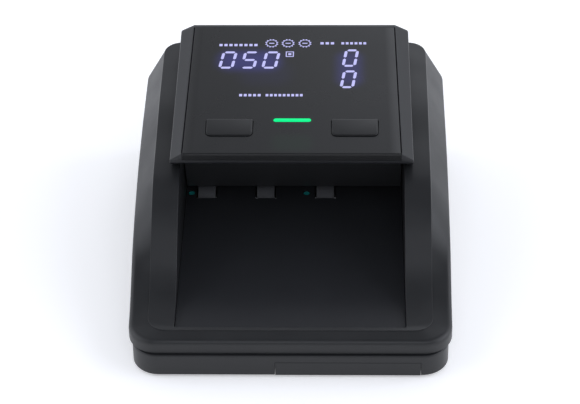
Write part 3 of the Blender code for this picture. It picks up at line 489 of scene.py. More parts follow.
def worn_abs_with_painted_fill(base):
    """Bed moulding polished along its length by passing notes: streaks along Y, 0.4 mm wide. The colour it is given is
    lighter than the case's, as painted fill light in the shaded tray.
    """
    made, tree, shader, place = new_material("worn_abs_with_painted_fill")
    lengthwise = node(tree, "ShaderNodeMapping", {"Scale": (1, 0.04, 1)}, Vector=place).outputs["Vector"]
    fine = {"Scale": 1 / (0.4 * MM), "Detail": 4.0}
    streak = node(tree, "ShaderNodeTexNoise", fine, Vector=lengthwise).outputs["Fac"]
    broad = node(tree, "ShaderNodeTexNoise", {"Scale": 1 / (15 * MM), "Detail": 3.0}, Vector=place).outputs["Fac"]
    lift = node(tree, "ShaderNodeBump", {"Strength": 0.05, "Distance": 0.05 * MM}, Height=streak)
    fill(shader, {
        "Base Color": tint(tree, broad, base, 0.1), "Roughness": spread(tree, streak, 0.34, 0.46),
        "Normal": lift.outputs["Normal"], "IOR": 1.32,
    })
    return made


def smoked_acrylic(base, glows=()):
    """Printed smoked film on acrylic: nearly black, satin, with faint wipe marks in its gloss. Each glow is
    light spread inside the sheet round a box of (middle, half sizes): (box, reach, colour, strength). It fades
    with the distance from the box, which is the length of max(|place - middle| - half sizes, 0)."""
    made = grained("smoked_acrylic", base, 1.5 * MM, 0.02, (0.26, 0.32), patch=22 * MM, change=0.12, IOR=1.42)
    tree = made.node_tree
    place = node(tree, "ShaderNodeTexCoord").outputs["Object"]
    total = None
    for (middle, half), reach, tone, strength in glows:
        far = place
        for step in (
            {"operation": "SUBTRACT", 1: middle}, {"operation": "ABSOLUTE"}, {"operation": "SUBTRACT", 1: half},
            {"operation": "MAXIMUM", 1: (0, 0, 0)},
        ):
            far = node(tree, "ShaderNodeVectorMath", {**step, 0: far}).outputs["Vector"]
        far = node(tree, "ShaderNodeVectorMath", {"operation": "LENGTH", 0: far}).outputs["Value"]
        fade = node(tree, "ShaderNodeMapRange", {
            "interpolation_type": "SMOOTHERSTEP", "From Min": 0.0, "From Max": reach, "To Min": 1.0, "To Max": 0.0,
        }, Value=far).outputs["Result"]
        lit = {"operation": "SCALE", 0: [c * strength for c in tone], "Scale": fade}
        light = node(tree, "ShaderNodeVectorMath", lit).outputs["Vector"]
        if total is not None:
            light = node(tree, "ShaderNodeVectorMath", {"operation": "ADD", 0: total, 1: light}).outputs["Vector"]
        total = light
    if total is not None:
        fill(tree.nodes["Principled BSDF"], {"Emission Color": total, "Emission Strength": 1})
    return made


def moulded_rubber(base):
    """Nitrile rubber: matt grey with a slightly patchy tone, and a fine ground surface."""
    return grained("moulded_rubber", base, 0.35 * MM, 0.3, (0.72, 0.88), patch=2 * MM, change=0.2)


def turned_steel():
    """Turned steel pin: fine turning marks show as bands in its gloss, about 0.3 mm apart."""
    made, tree, shader, place = new_material("turned_steel")
    rings = node(tree, "ShaderNodeTexWave", {"Scale": 1 / (0.9 * MM), "Distortion": 1.5}, Vector=place)
    fill(shader, {
        "Base Color": (*linear("B9BABD"), 1), "Metallic": 1,
        "Roughness": spread(tree, rings.outputs["Fac"], 0.18, 0.34),
    })
    return made


def sintered_bronze():
    """Oil-filled sintered bronze: warm and dull, with open pores. The real ones are about 0.05 mm apart and
    are drawn 0.3 mm apart so that they show."""
    made, tree, shader, place = new_material("sintered_bronze")
    pores = node(tree, "ShaderNodeTexVoronoi", {"Scale": 1 / (0.3 * MM)}, Vector=place).outputs["Distance"]
    fill(shader, {"Base Color": tint(tree, pores, linear("8F6A3A"), 0.25), "Metallic": 1, "Roughness": 0.45})
    return made


def solder_mask():
    """Fibreglass circuit board under green solder mask, with tracks every 1.5 mm showing through."""
    made, tree, shader, place = new_material("solder_mask")
    cells = node(tree, "ShaderNodeTexBrick", {
        "Scale": 1 / (6 * MM), "Color1": (*linear("0F5A34"), 1), "Color2": (*linear("0C4A2B"), 1),
        "Mortar": (*linear("1C7A48"), 1), "Mortar Size": 0.05,
    }, Vector=place)
    fill(shader, {"Base Color": cells.outputs["Color"], "Roughness": 0.35})
    return made


def lamp_material(name, base, power, detail):
    """Lit plastic: an even glow with a faint unevenness from the lamps behind it, dark where it is unlit."""
    made, tree, shader, place = new_material(name)
    cloud = node(tree, "ShaderNodeTexNoise", {"Scale": 1 / detail, "Detail": 2.0}, Vector=place).outputs["Fac"]
    fill(shader, {
        "Base Color": (*(0.15 * c for c in base), 1), "Roughness": 0.4, "IOR": 1.2,
        "Emission Color": tint(tree, cloud, base, 0.12), "Emission Strength": power,
    })
    return made


def sensor_lens():
    """Teal filter glass over a light sensor, with a faint teal glow painted on as its glint."""
    made, tree, shader, place = new_material("sensor_lens")
    depth = node(tree, "ShaderNodeTexNoise", {"Scale": 1 / (1.2 * MM)}, Vector=place).outputs["Fac"]
    fill(shader, {
        "Base Color": tint(tree, depth, linear("0B6E70"), 0.5), "Roughness": 0.08, "Coat Weight": 1.0,
        # The faint teal emission is a painted glint on the glass, not a lamp.
        "Emission Color": (*linear("3FB8B4"), 1), "Emission Strength": 0.03,
    })
    return made


def white_floor(base, glow):
    """Matt white acrylic table lit faintly from below, with the faintest unevenness."""
    made, tree, shader, place = new_material("white_floor")
    cloud = node(tree, "ShaderNodeTexNoise", {"Scale": 6.0}, Vector=place).outputs["Fac"]
    fill(shader, {
        "Base Color": tint(tree, cloud, base, 0.01), "Roughness": 0.9,
        "Emission Color": (*base, 1), "Emission Strength": glow,
    })
    return made


# ---------------- pieces


def body_section(case):
    """Corners of the body's closed section, each a whole loop of points round the plan: up the outer wall,
    over the sloping band, up a small step to the ledge, down the tray wall, and back through the hollow underneath.
    The hollow's roof sinks to the lower edge across the front rim and the rear wall."""
    outer = outline(WIDTH / 2, BODY_FRONT, DEPTH, *BODY_CORNERS)
    ledge, step = (
        outline(WIDTH / 2 - LEDGE_INSET - d, LEDGE_FRONT + d, DEPTH - GAP, LEDGE_CORNER - d, LEDGE_CORNER - d)
        for d in (0, 0.08 * MM)
    )
    tray = outline(TRAY_HALF, TRAY_FRONT, DEPTH - WALL, 0.8 * MM, 0.8 * MM)
    roof_in = outline(TRAY_HALF + WALL, 7 * MM, DEPTH - 1.5 * MM, 0.8 * MM, 0.8 * MM)
    bend = outline(WIDTH / 2 - 8.6 * MM, 6 * MM, DEPTH - 1.2 * MM, 3 * MM, 3 * MM)
    inner = outline(WIDTH / 2 - WALL, 3.4 * MM, DEPTH - 0.9 * MM, 8.8 * MM, 7.5 * MM)
    low = BODY_LOW_POINT.z
    edge, top = curve(EDGE_CURVE, outer[:, 1]), curve(LEDGE_CURVE, ledge[:, 1])
    tray_top = curve(LEDGE_CURVE, tray[:, 1])
    rise = np.clip((tray[:, 1] - 14 * MM) / (4 * MM), 0, 1) * np.clip((DEPTH - 6 * MM - tray[:, 1]) / (3 * MM), 0, 1)
    floor, drop = SHELL_FLOOR, 2.4 * MM
    roof = floor + rise * (tray_top - drop - floor)
    side_roof = floor + rise * np.maximum(edge - drop - floor, 0)
    corners = [
        at_height(outer, low), at_height(outer, edge), at_height(ledge, top - case.ledge_step),
        at_height(step, top), at_height(tray, tray_top),
        at_height(tray, floor), at_height(roof_in, floor), at_height(roof_in, roof), at_height(bend, roof),
        at_height(inner, side_roof), at_height(inner, low),
    ]
    radii = [0.25 * MM, case.edge_round, 0, case.ledge_round, case.tray_round, 0.2 * MM, 0, 0, 0, 0, 0]
    return corners, radii


def middle_of(name):
    """Middle of a CAD node's box, as (x, y, z)."""
    low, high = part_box(name)
    return (low.x + high.x) / 2, (low.y + high.y) / 2, (low.z + high.z) / 2


def wall_window(name, node_name):
    """Cutter for the window in the side wall round a CAD node, with the usual gap."""
    low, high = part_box(node_name)
    return block(name, (WIDTH / 2 - 2 * WALL, low.y - GAP, low.z - GAP), (WIDTH, high.y + GAP, high.z + GAP))


def hinge_lug(name, side):
    """Lug that carries a hinge pin: an arch on a tapering foot, drawn as (y, z) and carried along X."""
    _, y, z = middle_of(f"hinge_pin_{side}")
    radius = HINGE_RADIUS
    rear = FRONT + DEPTH - GAP
    arch = np.linspace(0, math.pi, 25)
    shape = [(y - radius, z - 4 * MM), (rear - 1.5 * MM, z - 10 * MM), (rear, z - 10 * MM), (rear, z - 2 * MM)]
    shape += np.column_stack([y + radius * np.cos(arch), z + radius * np.sin(arch)]).tolist()
    ends = (-LUG_END, LUG_WIDTH - LUG_END) if side == "left" else (LUG_END - LUG_WIDTH, LUG_END)
    return prism(name, shape, *ends, sideways)


class TESTER_OT_body(bpy.types.Operator):
    """Upper body with its two shoulders, tray walls and hinge lugs"""

    bl_idname = "tester.body"
    bl_label = "Body"

    def execute(self, context):
        case = context.scene.tester_case
        corners, radii = body_section(case)
        body = surface("body_case", rounded(corners, radii, closed=True), wrap_rows=True)
        rear = FRONT + DEPTH
        slot = TRAY_HALF - 1 * MM
        cut_out(body, [
            block("exit", (-slot, rear - 3 * WALL, EXIT_LOW), (slot, rear + WALL, EXIT_HIGH)),
            block("notch", (-TRAY_HALF, rear - 2 * WALL, REAR_NOTCH), (TRAY_HALF, rear + WALL, 60 * MM)),
            wall_window("inlet_hole", "power_inlet"),
            wall_window("switch_hole", "switch_housing"),
        ])
        material = textured_abs(case.case_colour)
        settle(body, "chassis", material, ("upper_shell",))
        for _, side in SIDES:
            settle(hinge_lug(f"hinge_lug_{side}", side), "chassis", material)
        return {"FINISHED"}


class TESTER_OT_base(bpy.types.Operator):
    """Base pan, with its battery cover"""

    bl_idname = "tester.base"
    bl_label = "Base"

    def execute(self, context):
        case = context.scene.tester_case
        half, rear, top = BASE_HIGH_POINT.x, BASE_HIGH_POINT.y - FRONT, BODY_LOW_POINT.z - SEAM_GAP

        def ring(inset, height):
            corner = max(BASE_CORNER - inset, 1 * MM)
            return at_height(outline(half - inset, inset, rear - inset, corner, corner), height)

        low = BASE_LOW_POINT.z
        corners = [
            ring(20 * MM, low), ring(0, low), ring(0, top), ring(BASE_WALL, top),
            ring(BASE_WALL, BASE_FLOOR), ring(20 * MM, BASE_FLOOR),
        ]
        radii = [0, 0.35 * MM, case.base_round, 0.3 * MM, 0, 0]
        base = surface("base_case", rounded(corners, radii, closed=False), caps=True)
        cover_low, cover_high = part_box("battery_cover")
        y, flange = cover_low.y - 10 * MM, cover_low.y + 2 * MM + GAP
        shape = [
            (y, -10 * MM), (cover_high.y + GAP / 2, -10 * MM), (cover_high.y + GAP / 2, 4.5 * MM), (flange, 4.5 * MM),
            (flange, cover_high.z + GAP / 2), (y, cover_high.z + GAP / 2),
        ]
        cutters = [prism("cover_hole", shape, cover_low.x - GAP / 2, cover_high.x + GAP / 2, sideways)]
        turn = np.linspace(0, 2 * math.pi, 32, endpoint=False)
        for i in range(4):
            x, y, _ = middle_of(f"base_screw_{i + 1}")
            circle = np.column_stack([x + SCREW_HOLE * np.cos(turn), y + SCREW_HOLE * np.sin(turn)])
            cutters.append(prism(f"screw_hole_{i + 1}", circle, 0, BASE_FLOOR + 0.2 * MM, upright))
        cut_out(base, cutters)
        material = textured_abs(case.case_colour)
        settle(base, "chassis", material, ("base_shell",))
        dress(frame["nodes"]["battery_cover"].data, material)
        return {"FINISHED"}


def head_halves(share):
    """Half widths of the panel and of the head, at a share of the head's length."""
    panel = TRAY_HALF - 1.3 * MM - 1.4 * MM * share
    outer = TRAY_HALF + 3.4 * MM - 0.5 * MM * share
    return panel, outer


def head_section(y, inset, bottom, solid, pocketed):
    """Closed section of the head at one y, as corner points (x, z): side, flank, pocket for the panel,
    flank, side, and the hollow below it, which is flat against the bottom where the head is solid."""
    share = (y - HEAD_FRONT) / (HEAD_REAR - HEAD_FRONT)
    panel, outer = head_halves(share)
    top = LIP_TOP + (y - HEAD_FRONT) * math.tan(SLOPE)
    shoulder = top - 2.9 * MM
    pocket = top - (1.8 * MM / math.cos(SLOPE) if pocketed else inset + 0.02 * MM)
    roof = bottom if solid else top - 3.5 * MM
    inner = outer - WALL
    half = [
        (outer - inset, bottom + inset), (outer - inset, shoulder), (panel + 0.15 * MM, top - inset),
        (panel - 0.05 * MM, pocket),
    ]
    hollow = [(inner, roof + (inset if solid else 0)), (inner, bottom + inset)]
    left = [(-x, z) for x, z in reversed(half)]
    return np.array(half + left + [(-x, z) for x, z in reversed(hollow)] + hollow)


def end_round(soft):
    """Quarter circle at an end of the head, as (inset of the section, distance from the end)."""
    turn = np.linspace(0, math.pi / 2, 5)
    return list(zip(soft * (1 - np.sin(turn)), soft * (1 - np.cos(turn))))


class TESTER_OT_head(bpy.types.Operator):
    """Hinged head with its sloping flanks and overhanging lip"""

    bl_idname = "tester.head"
    bl_label = "Head"

    def execute(self, context):
        case = context.scene.tester_case
        stations = [(HEAD_FRONT + back, inset, True) for inset, back in end_round(0.3 * MM)]
        stations += [(HEAD_FRONT + APRON, 0, True), (HEAD_FRONT + APRON + 0.01 * MM, 0, True)]
        stations += [(HEAD_FRONT + WALL, 0, True), (HEAD_FRONT + WALL + 0.01 * MM, 0, False)]
        stations += [(d, 0, False) for d in np.linspace(HEAD_FRONT + WALL + 0.5 * MM, HEAD_REAR - 2.8 * MM, 40)]
        end = HEAD_FRONT + PANEL_END * math.cos(SLOPE)
        stations += [(end - 0.01 * MM, 0, True), (end, 0, True)]
        stations += [(HEAD_REAR - back, inset, True) for inset, back in reversed(end_round(0.9 * MM))]
        columns = []
        for d, inset, solid in stations:
            skirt = float(curve(LEDGE_CURVE, np.array([d]))[0]) + 0.4 * MM
            drop = np.clip((d - HEAD_FRONT - 0.4 * MM) / (5.2 * MM), 0, 1)
            pocketed = HEAD_FRONT + APRON < d < HEAD_FRONT + PANEL_END * math.cos(SLOPE)
            section = head_section(d, inset, LIP_BOTTOM + (skirt - LIP_BOTTOM) * drop, solid, pocketed)
            columns.append(np.column_stack([section[:, 0], np.full(len(section), d + FRONT), section[:, 1]]))
        corners = list(np.array(columns).transpose(1, 0, 2))
        radii = [0.3 * MM, 0.7 * MM, 0.3 * MM, 0, 0, 0.3 * MM, 0.7 * MM, 0.3 * MM, 0, 0, 0, 0]
        rows = rounded(corners, radii, closed=True, steps=4)
        head = surface("head_case", rows.transpose(1, 0, 2), caps=True)
        panel = head_halves(0)[0]
        cutters = [block(
            "apron_way", (-panel, FRONT + HEAD_FRONT - APRON, SEAM_Z - 0.15 * MM),
            (panel, FRONT + HEAD_FRONT + APRON + 0.02 * MM, LIP_TOP + 5 * MM),
        )]
        knuckles = []
        for sign, side in SIDES:
            _, y, z = middle_of(f"hinge_pin_{side}")
            clear = HINGE_RADIUS + GAP
            way = sorted(sign * x for x in (LUG_END + GAP, LUG_END - LUG_WIDTH - GAP))
            cutters.append(block(f"lug_way_{side}", (way[0], y - clear, 40 * MM), (way[1], y + 20 * MM, z + clear)))
            start, end = sorted(sign * x for x in (LUG_END + GAP, LUG_END + LUG_WIDTH + GAP))
            profile = [(start, PIN_BORE), (start, HINGE_RADIUS), (end, HINGE_RADIUS), (end, PIN_BORE)]
            knuckles.append(lathe(f"knuckle_{side}", profile, (y, z), 48))
        cut_out(head, cutters)
        material = satin_abs(case.head_colour)
        settle(head, "head", material, ("head_shell",))
        for knuckle in knuckles:
            settle(knuckle, "head", material)
        return {"FINISHED"}


def panel_grid():
    """The panel, as a section carried across the head and widened to its taper. The section is a plate
    along the slope with an apron folded down over the lip, and sinks a little at both sides."""
    front, back_end, top = FRONT + HEAD_FRONT, PANEL_END - 0.1 * MM, LIP_TOP
    along = np.concatenate([[0.32, 0.14, 0.04], np.zeros(6)]) * MM
    drop = np.concatenate([[0, 0.05, 0.16], np.linspace(0.34, (LIP_TOP - SEAM_Z) / MM, 6)]) * MM
    rise = math.tan(SLOPE)
    y = [front + 0.02 * MM + a for a in along] + [front + APRON - 0.03 * MM] * 2
    z = [top - d + a * rise for a, d in zip(along, drop)] + [SEAM_Z, top - 1.5 * MM]
    run = np.linspace(APRON, back_end * math.cos(SLOPE), 24)
    y += (front + run).tolist() + (front + run[::-1]).tolist()
    z += (top - 1.5 * MM + run * rise).tolist() + (top + run[::-1] * rise).tolist()
    y, z = np.array(y), np.array(z)
    share = np.clip((y - front) / (HEAD_REAR - HEAD_FRONT), 0, 1)
    half = head_halves(share)[0] - 0.12 * MM
    rows = []
    middle = [(x, 0) for x in np.linspace(-0.9, 0.9, 13)]
    for x, sink in ((-1, 0.25), (-1, 0.1), (-1, 0), *middle, (1, 0), (1, 0.1), (1, 0.25)):
        inward = {0.25: 0, 0.1: 0.07, 0: 0.25}[sink] if abs(x) == 1 else 0
        upper = z > top - 0.6 * MM + (y - front) * rise
        rows.append(np.column_stack([x * (half - inward * MM), y, z - upper * sink * MM]))
    return np.array(rows)


def key_shape(grow=0.0, steps=8):
    """Outline of a key about its middle: square at the top, rounded at its lower corners. A hole grows on
    every side but the top, where the key meets the panel."""
    half_x, half_a, corner = 8.85 * MM + grow, 4.7 * MM + grow / 2, 1.9 * MM + grow
    small = 0.5 * MM + grow
    points = []
    for cx, ca, radius, start in (
        (1, 1, small, 0), (-1, 1, small, 0.5), (-1, -1, corner, 1), (1, -1, corner, 1.5),
    ):
        turn = np.linspace(start * math.pi, (start + 0.5) * math.pi, steps + 1)
        points.append(np.column_stack([
            cx * (half_x - radius) + radius * np.cos(turn), ca * (half_a - radius) + radius * np.sin(turn),
        ]))
    return np.concatenate(points)


def glow_box(x, along, half_x, half_along):
    """Middle and half sizes of a box round part of the panel, all given in millimetres."""
    middle = on_panel(x * MM, along * MM, 0)[0]
    return tuple(middle), (half_x * MM, half_along * MM * math.cos(SLOPE), 3 * MM)


def stadium(half_x, half_a, steps=10):
    """Outline with round ends about its middle."""
    turn = np.linspace(-math.pi / 2, math.pi / 2, steps + 1)
    right = np.column_stack([half_x - half_a + half_a * np.cos(turn), half_a * np.sin(turn)])
    return np.concatenate([right, -right])


def stacked(name, shape, middle, levels):
    """Closed body on the panel from one outline at several (height, shrink) levels, shrunk towards its middle."""
    shape = np.array(shape)
    reach = np.abs(shape).max(0)
    grid = []
    for above, shrink in levels:
        scaled = shape * (1 - shrink / reach)
        grid.append(on_panel(scaled[:, 0] + middle[0], scaled[:, 1] + middle[1], np.full(len(shape), above)))
    return surface(name, np.array(grid), caps=True)


THROUGH = ((-3 * MM, 0), (3 * MM, 0))
KEY_LEVELS = (
    (-1.9 * MM, 0), (0.28 * MM, 0), (0.4 * MM, 0.06 * MM), (0.47 * MM, 0.2 * MM), (0.5 * MM, 0.45 * MM),
)


class TESTER_OT_panel(bpy.types.Operator):
    """Smoked display panel, keys and light bar"""

    bl_idname = "tester.panel"
    bl_label = "Panel, keys and light bar"

    def execute(self, context):
        display = context.scene.tester_display
        panel = surface("display_panel", panel_grid(), caps=True)
        cutters = []
        for side, label in SIDES:
            at = (side * KEY_X, KEY_ALONG - 0.14 * MM)
            cutters.append(stacked(f"hole_{label}", key_shape(0.28 * MM), at, THROUGH))
        bar = stadium(7.2 * MM, 0.95 * MM)
        cutters.append(stacked("hole_bar", stadium(7.35 * MM, 1.1 * MM), BAR_AT, THROUGH))
        cut_out(panel, cutters)
        violet, green = display.glow_colour, display.bar_colour
        glows = [
            (glow_box(-17.5, 55.4, 7.0, 0.8), 9.5 * MM, violet, display.glow_power),
            (glow_box(22.0, 50.3, 0.6, 6.0), 8.0 * MM, violet, display.glow_power * 0.7),
            (glow_box(-11.0, 47.5, 4.0, 1.0), 11.0 * MM, violet, display.glow_power * 0.12),
            (glow_box(0, 19.6, 6.6, 0.4), 2.2 * MM, green, 0.02),
            # Faint painted green light on the panel between the lip and the light bar.
            (glow_box(0, 6.5, 4.5, 1.5), 6.0 * MM, green, 0.006),
        ]
        settle(panel, "head", smoked_acrylic(display.panel_colour, glows), ("display_fascia",))
        key_material = satin_abs(display.panel_colour)
        for side, label in SIDES:
            key = stacked(f"{label}_key_cap", key_shape(), (side * KEY_X, KEY_ALONG), KEY_LEVELS)
            settle(key, f"{label}_key", key_material, (f"key_{label}",), 60)
        lamp = stacked("green_bar", bar, BAR_AT, ((-3.6 * MM, 0), (-0.05 * MM, 0), (0, 0.1 * MM)))
        glow = lamp_material("green_light_pipe", display.bar_colour, display.bar_power, 2 * MM)
        settle(lamp, "head", glow, ("light_bar",))
        return {"FINISHED"}


def numeral_bars(number, width, height, thick, slant):
    """Outlines of a numeral's lit bars about its middle: six-sided bars, leaning by slant times their height."""
    half_w, half_h, half_t = width / 2 - thick / 2, height / 2 - thick / 2, thick / 2
    space = thick * 0.3
    spots = np.array(((-1, 1), (1, 1), (1, 0), (1, -1), (-1, -1), (-1, 0))) * (half_w, half_h)
    bars = []
    for lit, (first, last) in zip(NUMERALS[number], ((0, 1), (1, 2), (2, 3), (4, 3), (5, 4), (0, 5), (5, 2))):
        if lit == "0":
            continue
        start, end = spots[first], spots[last]
        run = (end - start) / np.linalg.norm(end - start)
        across = np.array((-run[1], run[0])) * half_t
        tip = run * (half_t * 0.9)
        start, end = start + run * space, end - run * space
        bar = np.array([start, start + tip + across, end - tip + across, end, end - tip - across, start + tip - across])
        bar[:, 0] += bar[:, 1] * slant
        bars.append(bar)
    return bars


def ring_marks(radius, teeth=12):
    """Outlines of a toothed ring: a many-sided ring cut into arcs, and a short tooth on each."""
    marks = []
    for i in range(teeth):
        turn = 2 * math.pi * (i + np.array((0.04, 0.5, 0.96))) / teeth
        for low, high, part in ((0.74, 0.86, turn), (0.86, 1.0, turn[1] + np.array((-0.11, 0.0, 0.11)))):
            inner = np.column_stack([np.cos(part), np.sin(part)]) * radius * low
            outer = np.column_stack([np.cos(part), np.sin(part)]) * radius * high
            marks.append(np.concatenate([inner, outer[::-1]]))
    return marks


def rectangle(half_x, half_a):
    """Corners of a rectangle about its middle."""
    return np.array([(-half_x, -half_a), (half_x, -half_a), (half_x, half_a), (-half_x, half_a)])


def dashes(start, end, count, height):
    """Middles and outlines of a row of plain upright dashes that stands for a word."""
    pitch = (end - start) / count
    return [(start + pitch * (i + 0.5), rectangle(pitch * 0.32, height / 2)) for i in range(count)]


class TESTER_OT_marks(bpy.types.Operator):
    """Lit marks of the display: numerals, toothed rings and plain dashes"""

    bl_idname = "tester.marks"
    bl_label = "Display marks"

    def execute(self, context):
        display = context.scene.tester_display
        height = 0.02 * MM
        placed = []
        for place, x in zip((100, 10, 1), (-26.0, -17.4, -9.0)):
            for bar in numeral_bars(display.value // place % 10, 6.0 * MM, 10.6 * MM, 1.15 * MM, 0.15):
                placed.append(((x * MM, 55.6 * MM), bar))
        for place, x, along in ((10, 22.4, 56.8), (1, 21.6, 43.8)):
            for bar in numeral_bars(display.count // place % 10, 5.6 * MM, 10.7 * MM, 1.15 * MM, 0.14):
                placed.append(((x * MM, along * MM), bar))
        for x in (-8.9, -2.4, 4.3):
            placed += [((x * MM, 66 * MM), mark) for mark in ring_marks(2.6 * MM)]
            placed += [((x * MM, 66 * MM), rectangle(1.0 * MM, 0.26 * MM))]
        words = (
            (-30.1, -14.2, 64.9, 8), (10.1, 16.3, 66, 3), (18.5, 29.0, 66, 6), (-21.2, -12.2, 34.2, 5),
            (-10.9, 4.1, 34.2, 9),
        )
        for start, end, along, count in words:
            for x, mark in dashes(start * MM, end * MM, count, 1.4 * MM):
                placed.append(((x, along * MM), mark))
        frame_bars = (
            (0, 1.45, 1.6, 0.2), (0, -1.45, 1.6, 0.2), (1.4, 0, 0.2, 1.25), (-1.4, 0, 0.2, 1.25), (0, 0, 0.6, 0.6),
        )
        for dx, da, half_x, half_a in frame_bars:
            placed.append((((dx - 1.6) * MM, (da + 59.2) * MM), rectangle(half_x * MM, half_a * MM)))
        marks = [self.plate(i, middle, shape, height) for i, (middle, shape) in enumerate(placed)]
        made = join_meshes("lit_marks", marks)
        glow = lamp_material("lit_marks", display.lit_colour, display.lit_power, 3 * MM)
        settle(made, "head", glow)
        return {"FINISHED"}

    def plate(self, index, middle, shape, height):
        """Thin closed plate on the panel with the mark's outline."""
        def place(a, b, h):
            return on_panel(a + middle[0], b + middle[1], h)
        return prism(f"mark_{index}", shape, height, 2 * height, place)


def tyre_profile(low, high, bore, radius, soft, steps=6):
    """Profile of a rubber ring with rounded outer edges, as (x, radius)."""
    turn = np.linspace(0, math.pi / 2, steps + 1)
    right = np.column_stack([high - soft + soft * np.cos(turn), radius - soft + soft * np.sin(turn)])
    left = np.column_stack([low + soft - soft * np.cos(turn), radius - soft + soft * np.sin(turn)])[::-1]
    return [(low, bore), (high, bore)] + right.tolist() + left.tolist()


class TESTER_OT_rollers(bpy.types.Operator):
    """Rubber feed rollers and idlers"""

    bl_idname = "tester.rollers"
    bl_label = "Rollers"

    def execute(self, context):
        # The feed rollers' rubber is real grey rubber drawn lighter, with painted fill light for the shaded throat.
        rubber = moulded_rubber(context.scene.tester_case.rubber_colour_with_painted_fill)
        groups = (("front_roller", "front_drive", 1.8), ("rear_roller", "rear_drive", 1.8), ("idler", "idlers", 1.3))
        for stem, body, bore in groups:
            for i in range(1, 4):
                roller = f"{stem}_{i}"
                low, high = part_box(roller)
                profile = tyre_profile(low.x, high.x, bore * MM, (high.z - low.z) / 2, 0.35 * MM)
                tyre = lathe(f"{stem}_tyre_{i}", profile, middle_of(roller)[1:])
                settle(tyre, body, rubber, (roller,))
        return {"FINISHED"}


class TESTER_OT_fittings(bpy.types.Operator):
    """Finishes for the pieces that keep their CAD shape"""

    bl_idname = "tester.fittings"
    bl_label = "Fittings"

    def execute(self, context):
        case, display = context.scene.tester_case, context.scene.tester_display
        rubber = moulded_rubber(linear("222325"))
        finishes = {
            "steel": turned_steel(), "bronze_bush": sintered_bronze(), "circuit_board": solder_mask(),
            "roller_rubber": rubber, "belt_rubber": rubber, "sensor_glass": sensor_lens(),
            # The bed gets the lighter tray colour as painted fill light; its streaks are real wear.
            "black_shell": textured_abs(case.case_colour), "black_satin": worn_abs_with_painted_fill(case.tray_colour_with_painted_fill),
            "dark_part": satin_abs(linear("141416")),
            # Shrink film on the battery pack: smooth, with a soft gloss
            "battery_wrap": grained("battery_wrap", linear("1B3F8F"), 2 * MM, 0.05, (0.3, 0.4)),
            "lit_display": smoked_acrylic(display.panel_colour),
        }
        for entry in frame["record"]["subparts"]:
            name, slot = entry["node"], entry["material_slot"]
            if slot in finishes and name != "battery_cover":
                dress(frame["nodes"][name].data, finishes[slot])
        # The guide is drawn in a lighter copy of the head's plastic, as painted fill light for the shaded throat.
        dress(frame["nodes"]["upper_guide"].data, satin_abs(case.guide_colour_with_painted_fill))
        return {"FINISHED"}


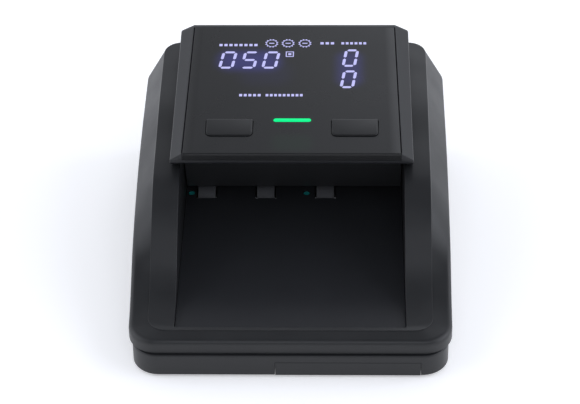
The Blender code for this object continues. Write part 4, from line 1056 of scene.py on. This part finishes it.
class TESTER_OT_stage(bpy.types.Operator):
    """Floor, soft light and camera"""

    bl_idname = "tester.stage"
    bl_label = "Stage"

    def execute(self, context):
        stage = context.scene.tester_stage
        context.scene.view_settings.view_transform = "Standard"
        self.floor(stage)
        self.world(stage)
        self.lights(stage)
        self.camera(stage)
        return {"FINISHED"}

    def floor(self, stage):
        reach = 6.0
        corners = [(x * reach, y * reach, -FLOOR_DROP) for x, y in ((-1, -1), (1, -1), (1, 1), (-1, 1))]
        mesh = bpy.data.meshes.new("floor")
        mesh.from_pydata(corners, [], [(0, 1, 2, 3)])
        dress(mesh, white_floor(stage.floor_colour, stage.floor_glow))
        link("floor", mesh)

    def world(self, stage):
        """Soft surround, bright low down and behind the part, and dimmest high up in front of it: the
        colour follows the angle from a dark pole that leans to the front."""
        world = bpy.data.worlds.new("soft_surround")
        bpy.context.scene.world = world
        world.use_nodes = True
        tree = world.node_tree
        direction = node(tree, "ShaderNodeTexCoord").outputs["Generated"]
        axis = (-0.03, -math.sin(stage.pole_lean), math.cos(stage.pole_lean))
        pole = node(tree, "ShaderNodeVectorMath", {"operation": "DOT_PRODUCT", 0: direction, 1: axis})
        ramp = node(tree, "ShaderNodeValToRGB", Fac=pole.outputs["Value"])
        stops = ramp.color_ramp.elements
        while len(stops) < 4:
            stops.new(0.5)
        low, high = stage.sky_low, stage.sky_high
        levels = ((0.0, low), (0.31, low * 0.9), (0.45, high * 1.6), (0.9, high))
        for stop, (place, level) in zip(stops, levels):
            stop.position, stop.color = place, (level * 0.96, level * 0.99, level * 1.06, 1)
        tree.links.new(ramp.outputs["Color"], tree.nodes["Background"].inputs["Color"])

    def lights(self, stage):
        target = Vector((0, 0, 0.04))
        for name, place, power, size in (
            ("back_softbox", (0.4, 1.5, 1.1), stage.back_power, 0.8),
            ("front_softbox", (0.1, -1.3, 1.3), stage.front_power, 1.2),
            ("left_softbox", (-1.6, -0.15, 0.9), stage.side_power, 1.8),
            ("right_softbox", (1.6, -0.2, 0.9), stage.side_power * 1.4, 1.8),
        ):
            data = bpy.data.lights.new(name, "AREA")
            data.energy = power
            data.size = size
            data.color = COOL_WHITE
            lamp = link(name, data)
            lamp.location = place
            lamp.rotation_euler = (target - Vector(place)).to_track_quat("-Z", "Y").to_euler()

    def camera(self, stage):
        data = bpy.data.cameras.new("camera")
        data.lens = stage.lens
        data.sensor_width = 36
        made = link("camera", data)
        a, e = stage.azimuth, stage.elevation
        back = Vector((math.sin(a) * math.cos(e), -math.cos(a) * math.cos(e), math.sin(e)))
        target = Vector((-1.06 * MM, 0, 26.24 * MM))
        made.location = target + back * stage.distance
        turn = (-back).to_track_quat("-Z", "Y").to_matrix() @ Matrix.Rotation(-stage.roll, 3, "Z")
        made.rotation_euler = turn.to_euler()
        bpy.context.scene.camera = made


# ---------------- add-on


class TESTER_PT_panel(bpy.types.Panel):
    """Sizes, colours and the pieces to build"""

    bl_idname = "TESTER_PT_panel"
    bl_label = "Banknote Tester"
    bl_space_type = "VIEW_3D"
    bl_region_type = "UI"
    bl_category = "Banknote Tester"

    def draw(self, context):
        for group in (context.scene.tester_case, context.scene.tester_display, context.scene.tester_stage):
            box = self.layout.box()
            for name in group.bl_rna.properties.keys():
                if name not in ("rna_type", "name"):
                    box.prop(group, name)
        for operator in OPERATORS:
            self.layout.operator(operator.bl_idname)


SETTINGS = {"tester_case": CaseSettings, "tester_display": DisplaySettings, "tester_stage": StageSettings}
OPERATORS = (
    TESTER_OT_body, TESTER_OT_base, TESTER_OT_head, TESTER_OT_panel, TESTER_OT_marks, TESTER_OT_rollers,
    TESTER_OT_fittings, TESTER_OT_stage,
)


def register():
    for group in SETTINGS.values():
        bpy.utils.register_class(group)
    for name, group in SETTINGS.items():
        setattr(bpy.types.Scene, name, bpy.props.PointerProperty(type=group))
    for operator in OPERATORS:
        bpy.utils.register_class(operator)
    bpy.utils.register_class(TESTER_PT_panel)


def unregister():
    bpy.utils.unregister_class(TESTER_PT_panel)
    for operator in reversed(OPERATORS):
        bpy.utils.unregister_class(operator)
    for name, group in SETTINGS.items():
        delattr(bpy.types.Scene, name)
        bpy.utils.unregister_class(group)


def main():
    register()
    bpy.ops.tester.body()
    bpy.ops.tester.base()
    bpy.ops.tester.head()
    bpy.ops.tester.panel()
    bpy.ops.tester.marks()
    bpy.ops.tester.rollers()
    bpy.ops.tester.fittings()
    bpy.ops.tester.stage()


if __name__ == "__main__":
    main()
